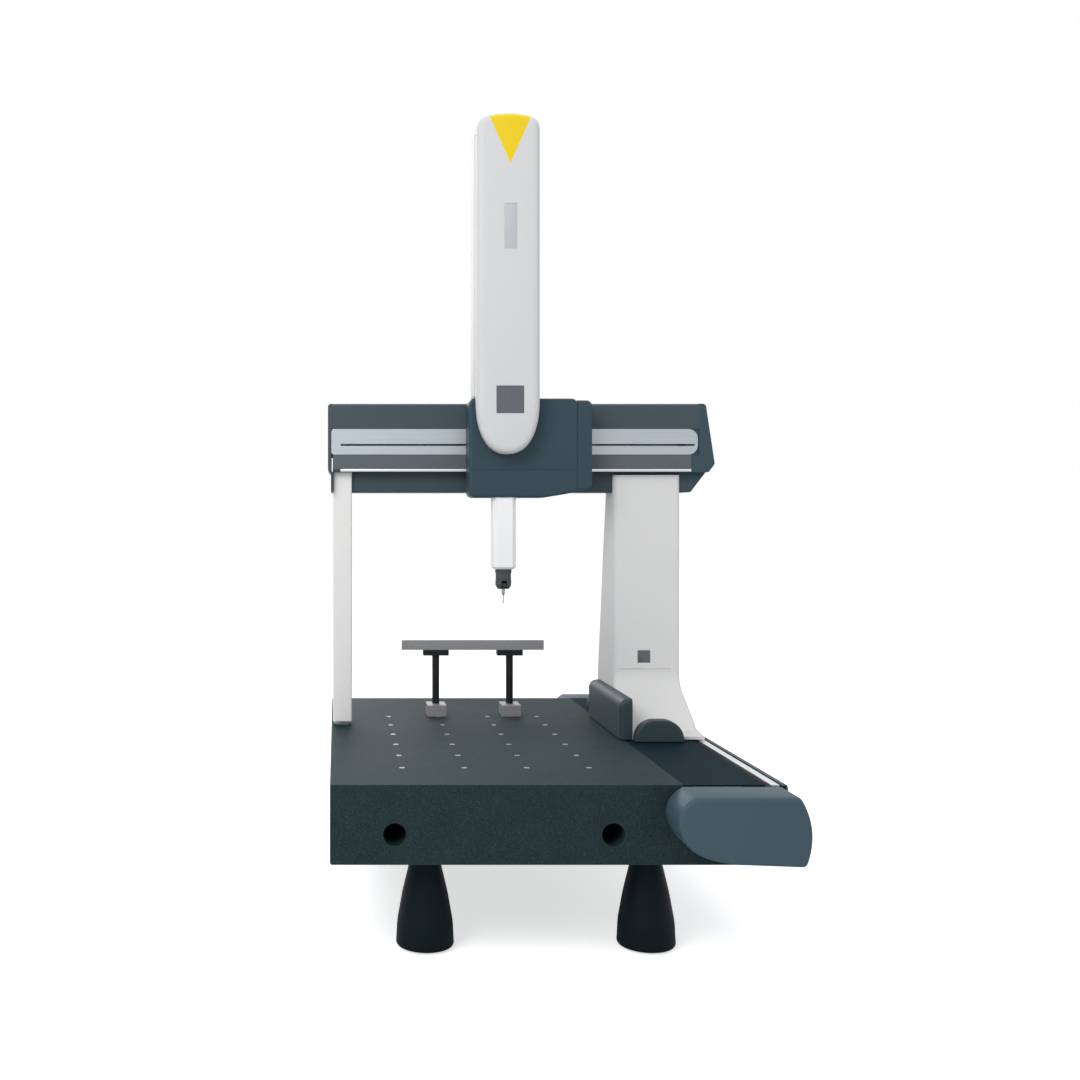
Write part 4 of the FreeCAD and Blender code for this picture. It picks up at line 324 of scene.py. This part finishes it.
granite = Finish("lapped_black_granite", linear(37, 53, 56), 0.5, specular_ior_level=0.06)
crystals = add(granite.tree, "ShaderNodeTexVoronoi", feature="F1")
crystals.inputs["Scale"].default_value = CRYSTALS_PER_METRE
granite.tree.links.new(
    add(granite.tree, "ShaderNodeTexCoord").outputs["Object"], crystals.inputs["Vector"]
)
split = add(granite.tree, "ShaderNodeSeparateColor")
granite.tree.links.new(crystals.outputs["Color"], split.inputs[0])
granite.tint(granite.step(noise(granite.tree, 9.0, 6.0, 0.65), 0.35, 0.75), linear(29, 43, 46), 0.6)
granite.tint(granite.step(split.outputs[0], 0.72, 0.95), linear(54, 70, 73), 0.4)
granite.tint(granite.step(split.outputs[1], 0.84, 0.97), linear(16, 25, 28), 0.7)
granite.tint(granite.step(split.outputs[2], 0.93, 0.99), linear(78, 92, 94), 0.35)
granite.gloss(split.outputs[0], 0.08)
granite.gloss(granite.group(wiped, scale=2.2, spread=0.5).outputs["Mask"], 0.10)
granite.raise_by(noise(granite.tree, 520.0, 3.0), 0.00004)
granite_finish = granite.done(edge=0.004, edge_wear_and_highlight_share=0.35, edge_wear_and_highlight_colour=linear(74, 88, 90))
dress(granite_finish, "granite_table")


def machined(name, colour, roughness, streak, deep=0.00003):
    """Cut metal: fine tool streaks across the direction in which streak is large."""
    metal = Finish(name, colour, roughness, metallic=0.85)
    lines = noise(metal.tree, 1.0, 4.0, 0.6, stretch=streak)
    darker = tuple(c * 0.72 for c in colour[:3]) + (1,)
    metal.tint(metal.step(lines, 0.3, 0.7), darker, 0.6)
    metal.gloss(lines, 0.16)
    metal.gloss(metal.group(wiped, scale=6.0, spread=0.6).outputs["Mask"], 0.06)
    metal.raise_by(lines, deep)
    return metal


turned_steel = machined("turned_steel", linear(176, 180, 183), 0.26, (60, 60, 900))
steel_finish = turned_steel.done(edge=0.0008, edge_wear_and_highlight_share=0.3, edge_wear_and_highlight_colour=linear(220, 222, 224))
dress(steel_finish, "threaded_inserts")

# ------------------------------------------------------------------ feet
# Four ogive feet: a moulded cover in dark satin plastic, with a steel jack screw and a ribbed rubber pad.
# The cover is drawn over the jack from above and screwed to the table's underside.


def moulded(name, colour, roughness, grain=1500.0, deep=0.00005, pale=1.25, shine=0.25):
    """Injection moulding or coated panel: fine spark-eroded grain and slow change of gloss."""
    skin = Finish(name, colour, roughness, specular_ior_level=shine)
    pits = noise(skin.tree, grain, 2.0, 0.5)
    lighter = tuple(min(1.0, c * pale) for c in colour[:3]) + (1,)
    darker = tuple(c / pale for c in colour[:3]) + (1,)
    cloud = skin.group(wiped, scale=2.6, spread=1.0).outputs["Mask"]
    skin.tint(skin.step(cloud, 0.5, 0.75), lighter, 0.35)
    skin.tint(skin.step(cloud, 0.5, 0.25), darker, 0.30)
    skin.tint(skin.step(pits, 0.45, 0.7), lighter, 0.14)
    skin.gloss(pits, 0.10)
    skin.gloss(cloud, 0.10)
    skin.raise_by(pits, deep)
    return skin


foot_skin = moulded("dark_foot_moulding", linear(9, 23, 28), 0.38, pale=1.3, shine=0.1)
foot_finish = foot_skin.done(edge=0.003, edge_wear_and_highlight_share=0.5, edge_wear_and_highlight_colour=linear(34, 50, 54))
dress(foot_finish, "foot_covers")
dress(steel_finish, "levelling_jacks")


def soft_black(name, colour, roughness):
    """Rubber: dull, with a bloom that sits in patches."""
    rubber = moulded(name, colour, roughness, grain=700.0, deep=0.00008, pale=1.6)
    bloom = rubber.step(noise(rubber.tree, 22.0, 5.0, 0.7), 0.52, 0.75)
    rubber.tint(bloom, linear(70, 72, 74), 0.35)
    return rubber


rubber_finish = soft_black("moulded_rubber", linear(30, 31, 32), 0.72).done(edge=0.001)
dress(rubber_finish, "foot_pads", "y_bumpers")

# ------------------------------------------------------------------ Y guide at the table's right side
# The bridge runs on a ground steel rail in a painted sheet trough, closed by a dark sliding band beside
# a bright strip. A moulded cap closes the trough at each end.


def painted_coat(name, colour, roughness, pale=1.12):
    """Powder coat on metal or moulding: soft orange peel, slow change of gloss."""
    coat = Finish(name, colour, roughness, specular_ior_level=0.22)
    peel = noise(coat.tree, 260.0, 2.0, 0.5)
    fleck = noise(coat.tree, 1400.0, 2.0, 0.5)
    cloud = coat.group(wiped, scale=2.0, spread=1.0).outputs["Mask"]
    lighter = tuple(min(1.0, c * pale) for c in colour[:3]) + (1,)
    darker = tuple(c / pale for c in colour[:3]) + (1,)
    coat.tint(coat.step(cloud, 0.5, 0.8), lighter, 0.8)
    coat.tint(coat.step(cloud, 0.5, 0.2), darker, 0.8)
    coat.tint(coat.step(fleck, 0.5, 0.75), lighter, 0.35)
    coat.gloss(fleck, 0.08)
    coat.gloss(cloud, 0.12)
    coat.raise_by(peel, 0.00006)
    coat.raise_by(fleck, 0.00001)
    return coat


def painted(name, colour, roughness, edge_wear_and_highlight_share=0.35):
    """A closed powder coat, with edges painted paler for wear and as painted highlight."""
    # The edge colour is close to twice as light as the coat: partly rubbed paint, partly painted highlight
    # on the lit edges.
    edge_wear_and_highlight_colour = tuple(min(1.0, c * 1.9 + 0.03) for c in colour[:3]) + (1,)
    return painted_coat(name, colour, roughness).done(edge=0.0025, edge_wear_and_highlight_share=edge_wear_and_highlight_share, edge_wear_and_highlight_colour=edge_wear_and_highlight_colour)


slate_finish = painted("slate_coat", linear(56, 75, 84), 0.4)
cap_finish = painted("slate_coat_pale", linear(62, 82, 92), 0.4)
ground_steel = machined("ground_steel", linear(168, 172, 176), 0.2, (500, 3, 500)).done(edge=0.001)
bright_strip = machined("bright_anodised_strip", linear(222, 226, 227), 0.22, (900, 4, 900), 0.00002)
bright_finish = bright_strip.done(edge=0.001, edge_wear_and_highlight_share=0.3, edge_wear_and_highlight_colour=linear(240, 241, 241))
dress(ground_steel, "y_guide_rail")
dress(bright_finish, "guide_edge_strip", "y_scale")
dress(slate_finish, "guide_cover")

band_skin = Finish("sliding_band", linear(15, 33, 42), 0.6, specular_ior_level=0.03)
pleats = noise(band_skin.tree, 1.0, 2.0, 0.5, stretch=(20, 420, 20))
band_skin.tint(band_skin.step(pleats, 0.35, 0.65), linear(20, 38, 48), 0.5)
band_skin.gloss(pleats, 0.15)
band_skin.raise_by(pleats, 0.00025)
dress(band_skin.done(edge=0.001), "guide_cover_band")


def bend(start, pull, end, steps=12):
    """Points of a soft bend from start to end, drawn towards a third point; the end is left out."""
    points = []
    for step in range(steps):
        t = step / steps
        near, middle, far = (1 - t) ** 2, 2 * t * (1 - t), t * t
        points.append(tuple(near * a + middle * b + far * c for a, b, c in zip(start, pull, end)))
    return points


def plate(name, rim, front, rear, edge, segments=4, wall=None, opened=()):
    """Closed piece with an X-Z outline between two Y places, its edges rounded; a wall makes it
    a shell, opened at the faces that look in the given directions."""
    bpy.ops.object.select_all(action="DESELECT")
    bpy.ops.mesh.primitive_circle_add(vertices=len(rim), fill_type="NGON")
    piece = bpy.context.object
    piece.name = name
    piece.data.name = name
    for vertex, (x, z) in zip(piece.data.vertices, rim):
        vertex.co = (x, rear, z)
    bpy.ops.object.mode_set(mode="EDIT")
    bpy.ops.mesh.select_all(action="SELECT")
    bpy.ops.mesh.extrude_region_move(TRANSFORM_OT_translate={"value": (0, front - rear, 0)})
    bpy.ops.mesh.select_all(action="SELECT")
    bpy.ops.mesh.normals_make_consistent(inside=False)
    bpy.ops.object.mode_set(mode="OBJECT")
    soften = piece.modifiers.new("rounding", "BEVEL")
    soften.width = edge
    soften.segments = segments
    soften.limit_method = "ANGLE"
    soften.angle_limit = math.radians(50)
    bpy.ops.object.modifier_apply(modifier=soften.name)
    if opened:
        for face in piece.data.polygons:
            face.select = any(face.normal.dot(Vector(direction)) > 0.999 for direction in opened)
        bpy.ops.object.mode_set(mode="EDIT")
        bpy.ops.mesh.select_mode(type="FACE")
        bpy.ops.mesh.delete(type="FACE")
        bpy.ops.object.mode_set(mode="OBJECT")
    if wall:
        thicken = piece.modifiers.new("wall", "SOLIDIFY")
        thicken.thickness = wall
        thicken.offset = -1
        bpy.ops.object.modifier_apply(modifier=thicken.name)
    bpy.ops.object.select_all(action="DESELECT")
    piece.select_set(True)
    bpy.ops.object.shade_smooth_by_angle(angle=math.radians(35))
    return piece


def finish_piece(piece, material, body, slot, *replaced):
    """Finish, body and the CAD nodes that a piece stands for; the record slot argument is not used."""
    piece.data.materials.clear()
    piece.data.materials.append(material)
    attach(piece, body)
    if replaced:
        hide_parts(*replaced)


# The cap's outline: a sloped left side that bends into the floor, and a right side that bulges.
CAP_EDGE = 0.012
low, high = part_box("guide_front_cap")
cap_top = high.z - 0.003
left_top = (low.x + 0.049, cap_top)
left_foot = (low.x + 0.023, low.z + 0.064)
floor_start = (low.x + 0.191, low.z + 0.006)
floor_end = (high.x - 0.060, low.z + 0.002)
right_foot = (high.x - 0.017, low.z)
right_top = (high.x - 0.034, cap_top)
cap_rim = [
    *bend(left_top, (low.x - 0.036, high.z - 0.053), left_foot),
    *bend(left_foot, (low.x + 0.060, low.z + 0.014), floor_start),
    floor_end,
    *bend(right_foot, (high.x + 0.026, low.z + 0.108), right_top, 16),
    right_top,
]
for cap_name, node in (("guide_front_shell", "guide_front_cap"), ("guide_rear_shell", "guide_rear_cap")):
    low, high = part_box(node)
    shell = plate(cap_name, cap_rim, low.y, high.y, CAP_EDGE)
    finish_piece(shell, cap_finish, "base", "slate_light", node)

# ------------------------------------------------------------------ Y drive and air inlet
# A gearmotor at the rear turns a toothed belt round an idler at the front, all under the guide cover.
# The air port is a turned aluminium boss at the back of the table.

cast_finish = machined("machined_aluminium", linear(168, 171, 173), 0.34, (140, 140, 140)).done(
    edge=0.001, edge_wear_and_highlight_share=0.4, edge_wear_and_highlight_colour=linear(214, 216, 217)
)
motor_finish = painted("black_motor_paint", linear(26, 27, 29), 0.42, edge_wear_and_highlight_share=0.5)
belt_finish = soft_black("toothed_belt_rubber", linear(20, 20, 21), 0.6).done(edge=0.0005)
dress(motor_finish, "y_drive_motor", "x_drive_motor", "z_drive_motor")
dress(belt_finish, "y_drive_belt", "x_drive_belt", "z_drive_belt")
dress(cast_finish, "y_idler_bracket", "air_inlet", "y_drive_pulley", "y_idler_pulley")
dress(cast_finish, "x_drive_pulley", "x_idler_pulley", "z_drive_pulley", "z_idler_pulley")

# ------------------------------------------------------------------ stylus rack
# An extruded rail on two black posts at the back of the table holds spare styli.
# Plain machined aluminium feet carry the posts.

rail_finish = machined("anodised_rack_rail", linear(158, 158, 160), 0.4, (4, 700, 700), 0.00002).done(
    edge=0.0012, edge_wear_and_highlight_share=0.5, edge_wear_and_highlight_colour=linear(196, 196, 198)
)
post_finish = painted("black_rack_post", linear(27, 29, 31), 0.34, edge_wear_and_highlight_share=0.6)
dress(rail_finish, "rack_rail", "rack_feet")
dress(post_finish, "rack_posts")

# ------------------------------------------------------------------ bridge legs
# The main leg is a belled moulded cover over a cast leg; the slim leg is one pressed and coated tube.
# Both ride on air bearings, the main one inside a painted shroud with rounded noses.

pale_skin = moulded("pale_grey_moulding", linear(221, 220, 219), 0.45, grain=1100.0, deep=0.00004, pale=1.05)
pale_finish = pale_skin.done(edge=0.003, edge_wear_and_highlight_share=0.12, edge_wear_and_highlight_colour=linear(232, 232, 232))
slim_skin = moulded("pale_grey_coat", linear(230, 229, 226), 0.42, grain=1100.0, deep=0.00003, pale=1.04)
slim_finish = slim_skin.done(edge=0.0025, edge_wear_and_highlight_share=0.12, edge_wear_and_highlight_colour=linear(236, 236, 236))
dress(pale_finish, "main_leg_cover")
dress(slim_finish, "slim_leg")
dress(cast_finish, "main_leg", "y_saddle", "y_air_bearings")
arch_finish = painted("slate_coat_dark", linear(52, 66, 71), 0.4)
dress(arch_finish, "bearing_shroud", "guide_noses")

window_skin = Finish("dark_window", linear(96, 99, 106), 0.2, specular_ior_level=0.3)
window_skin.gloss(window_skin.group(wiped, scale=14.0, spread=1.0).outputs["Mask"], 0.12)
window_finish = window_skin.done(edge=0.0008)
PANE = 0.046
PANE_MIDDLE = (0.4768, 0.821)
PANE_FRONT = 0.1497
PANE_REAR = 0.1518


def oblong(middle, size):
    """Corners of an upright rectangle, for a plate's rim."""
    half_width, half_height = size[0] / 2, size[1] / 2
    return [
        (middle[0] + side * half_width, middle[1] + up * half_height)
        for side, up in ((-1, -1), (1, -1), (1, 1), (-1, 1))
    ]


pane_rim = oblong(PANE_MIDDLE, (PANE, PANE))
pane = plate("leg_window", pane_rim, PANE_FRONT, PANE_REAR, 0.0006, segments=2)
finish_piece(pane, window_finish, "bridge", "pane")

# ------------------------------------------------------------------ cross beam
# A ground hollow beam carries the carriage; painted covers go round it, with a long anodised panel in front
# whose narrow slot lets the carriage's arm through. Both ends are closed by moulded caps.

LIP_LOW = 1.5335
LIP_HIGH = 1.5435
END_BACKING = 0.045

beam_core = machined("ground_beam", linear(176, 178, 180), 0.24, (3, 500, 500)).done(edge=0.001)
silver_panel = machined("silver_anodised_panel", linear(184, 192, 198), 0.36, (3, 900, 900), 0.000015)
silver_finish = silver_panel.done(edge=0.0015, edge_wear_and_highlight_share=0.25, edge_wear_and_highlight_colour=linear(226, 229, 231))
upper_finish = painted("slate_coat_beam", linear(66, 78, 84), 0.4)
dress(beam_core, "cross_beam")
dress(bright_finish, "x_scale")
dress(silver_finish, "beam_front_panel")
dress(upper_finish, "beam_upper_cover", "beam_left_cap")
dress(slate_finish, "beam_right_cap")
# Painted light: above the lip the lower cover is painted a lighter grey as a lit band, and below it keeps
# the darker tone of the shade where the cover turns under.
lower_coat = painted_coat("slate_coat_lit_above_lip", linear(60, 74, 80), 0.4)
painted_lit_band_above_lip = lower_coat.step(height_of(lower_coat.tree), LIP_HIGH, LIP_HIGH + 0.001)
lower_coat.tint(painted_lit_band_above_lip, linear(92, 99, 104), 1.0)
dress(lower_coat.done(edge=0.0025), "beam_lower_cover")

low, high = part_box("beam_lower_cover")
# A thin bright strip on the lip's front is a painted highlight: it stands for the light caught by the lip's
# edge.
lip_highlight_rim = [(low.x + 0.03, LIP_LOW), (high.x, LIP_LOW), (high.x, LIP_HIGH), (low.x + 0.03, LIP_HIGH)]
lip = plate("beam_lip_highlight_strip", lip_highlight_rim, low.y - 0.0018, low.y + 0.0005, 0.0008, segments=3)
finish_piece(lip, bright_finish, "bridge", "bright_aluminium")
panel_low, panel_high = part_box("beam_front_panel")
back_rim = [
    (panel_high.x - END_BACKING, panel_low.z),
    (panel_high.x + 0.006, panel_low.z),
    (panel_high.x + 0.006, panel_high.z),
    (panel_high.x - END_BACKING, panel_high.z),
]
backing_front = panel_high.y + 0.0004
backing_rear = panel_high.y + 0.0035
backing = plate("panel_end_backing", back_rim, backing_front, backing_rear, 0.0008, segments=2)
finish_piece(backing, slate_finish, "bridge", "slate_paint")

# ------------------------------------------------------------------ X carriage
# A machined frame rides on the beam with air bearings, and a painted moulded cover hides it.
# A wiper plate closes the right side, where the cover's shoulder runs down.

# The pale lines along the carriage cover's edges come from the paler edge colour: painted highlight as well
# as wear.
carriage_finish = painted("slate_coat_carriage", linear(50, 69, 79), 0.4)
dress(cast_finish, "x_carriage_frame", "x_air_bearings", "z_air_bearings")
dress(carriage_finish, "carriage_cover", "carriage_wiper")

# ------------------------------------------------------------------ Z column
# Tall moulded cover with round shoulders and a tongue that runs down over the carriage.
# It carries a dark window, a blank plate and a yellow accent at the top of its front.

column_skin = moulded("column_moulding", linear(209, 209, 209), 0.42, grain=1100.0, deep=0.00003, pale=1.04)
column_finish = column_skin.done(edge=0.003, edge_wear_and_highlight_share=0.1, edge_wear_and_highlight_colour=linear(234, 234, 235))
dress(window_finish, "column_window")
dress(cast_finish, "counterbalance_cylinder", "counterbalance_rod")

COLUMN_MIDDLE = -0.0765
COLUMN_HALF = 0.117
CROWN = 0.020
TONGUE_START = 1.795
TONGUE_STEPS = 32
TONGUE_POWER = 2 / 2.3
WALL = 0.0045
ACCENT_SHIFT = 0.0712
ACCENT_FOOT = 2.658
ACCENT_SLOPE = 2.28
ACCENT_SHARPNESS = 900.0
ACCENT_BACK = -0.02
WINDOW_SEAT = (0.1015, 0.1015)
WINDOW_SEAT_DEPTH = 0.0035
BADGE = (0.044, 0.165)
BADGE_MIDDLE = (-0.069, 2.4285)
BADGE_SEAT_DEPTH = 0.0016
BADGE_GAP = 0.001
low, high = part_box("column_cover")
carriage_low, carriage_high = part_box("carriage_cover")


def crown(x):
    """Height of the column's crowned top edge at a distance from its middle."""
    return high.z - CROWN * (x / COLUMN_HALF) ** 2


column_top = [(x * 0.01, crown(x * 0.01)) for x in range(7, -8, -1)]
right_shoulder = bend((COLUMN_HALF, high.z - 0.062), (COLUMN_HALF, crown(0.11)), (0.075, crown(0.075)), 8)
left_shoulder = bend((-0.075, crown(0.075)), (-COLUMN_HALF, crown(0.11)), (-COLUMN_HALF, high.z - 0.075), 8)
tongue = []
for step in range(TONGUE_STEPS + 1):
    angle = math.pi + math.pi * step / TONGUE_STEPS
    across = math.copysign(abs(math.cos(angle)) ** TONGUE_POWER, math.cos(angle))
    down = -(abs(math.sin(angle)) ** TONGUE_POWER)
    tongue.append((COLUMN_HALF * across, TONGUE_START + (TONGUE_START - low.z) * down))
face_rim = [*tongue, *right_shoulder, *column_top, *left_shoulder]
face_rim = [(COLUMN_MIDDLE + x, z) for x, z in face_rim]
face_rear = carriage_low.y - 0.0005
column_face = plate(
    "column_front_moulding", face_rim, low.y, face_rear, 0.026, 6, wall=WALL, opened=[(0, 1, 0)]
)


def sink(piece, middle, size, front, depth):
    """Cut a square-edged seat into the front of a piece."""
    bpy.ops.object.select_all(action="DESELECT")
    place = (middle[0], front, middle[1])
    bpy.ops.mesh.primitive_cube_add(size=1, location=place, scale=(size[0], depth * 2, size[1]))
    cutter = bpy.context.object
    bpy.context.view_layer.objects.active = piece
    seat = piece.modifiers.new("seat", "BOOLEAN")
    seat.operation = "DIFFERENCE"
    seat.object = cutter
    bpy.ops.object.modifier_apply(modifier=seat.name)
    bpy.data.objects.remove(cutter)


window_low, window_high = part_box("column_window")
window_middle = ((window_low.x + window_high.x) / 2, (window_low.z + window_high.z) / 2)
sink(column_face, window_middle, WINDOW_SEAT, low.y, WINDOW_SEAT_DEPTH)
badge_seat = (BADGE[0] + BADGE_GAP, BADGE[1] + BADGE_GAP)
sink(column_face, BADGE_MIDDLE, badge_seat, low.y, BADGE_SEAT_DEPTH)

accent = column_finish.copy()
accent.name = "column_moulding_with_accent"
tree = accent.node_tree
shader = tree.nodes["Principled BSDF"]
spot = add(tree, "ShaderNodeSeparateXYZ")
tree.links.new(add(tree, "ShaderNodeTexCoord").outputs["Object"], spot.inputs[0])
side = calculate(tree, "ABSOLUTE", calculate(tree, "ADD", spot.outputs["X"], ACCENT_SHIFT), 0.0)
flank = calculate(tree, "ADD", ACCENT_FOOT, calculate(tree, "MULTIPLY", side, ACCENT_SLOPE))
above = calculate(tree, "SUBTRACT", spot.outputs["Z"], flank)
inside = calculate(tree, "MULTIPLY", above, ACCENT_SHARPNESS, True)
ahead = calculate(tree, "LESS_THAN", spot.outputs["Y"], ACCENT_BACK)
mix = add(tree, "ShaderNodeMix", data_type="RGBA")
mix.inputs["B"].default_value = linear(232, 200, 30)
tree.links.new(calculate(tree, "MULTIPLY", inside, ahead), mix.inputs["Factor"])
tree.links.new(shader.inputs["Base Color"].links[0].from_socket, mix.inputs["A"])
tree.links.new(mix.outputs["Result"], shader.inputs["Base Color"])
finish_piece(column_face, accent, "x_carriage", "light_grey", "column_cover")

badge_rim = oblong(BADGE_MIDDLE, BADGE)
badge_finish = moulded("blank_plate", linear(188, 190, 195), 0.3, pale=1.05).done(edge=0.0005)
badge = plate("column_blank_plate", badge_rim, low.y + 0.0004, low.y + 0.0015, 0.0004, segments=2)
finish_piece(badge, badge_finish, "x_carriage", "light_grey")

back_start = carriage_high.z + 0.001
rear_foot = [(-COLUMN_HALF, back_start), (COLUMN_HALF, back_start)]
rear_rim = [*rear_foot, *right_shoulder, *column_top, *left_shoulder]
rear_rim = [(COLUMN_MIDDLE + x, z) for x, z in rear_rim]
column_rear = plate(
    "column_rear_moulding",
    rear_rim,
    carriage_low.y + 0.001,
    high.y,
    0.012,
    5,
    wall=WALL,
    opened=[(0, -1, 0), (0, 0, -1)],
)
finish_piece(column_rear, column_finish, "x_carriage", "light_grey")

# ------------------------------------------------------------------ ram and probe head
# A white ceramic square tube, ground on all sides, carries the two-axis motorised head and the touch probe.
# The stylus is a pale stem with a ruby ball.

RUBY_TOP = 1.0388
ram_skin = moulded("white_ceramic", linear(246, 246, 246), 0.26, grain=1800.0, deep=0.00001, pale=1.02)
dress(ram_skin.done(edge=0.0015), "ram")
dress(bright_finish, "z_scale")
head_finish = painted("dark_head_anodise", linear(76, 77, 80), 0.32, edge_wear_and_highlight_share=0.5)
dress(head_finish, "head_body", "head_rotor", "head_knuckle")
dress(steel_finish, "probe")
ruby = Finish("ruby_and_carbide", linear(150, 24, 36), 0.12)
above_ball = ruby.step(height_of(ruby.tree), RUBY_TOP, RUBY_TOP + 0.0004)
ruby.tint(above_ball, linear(120, 122, 126), 1.0)
dress(ruby.done(edge=0.0003), "stylus")
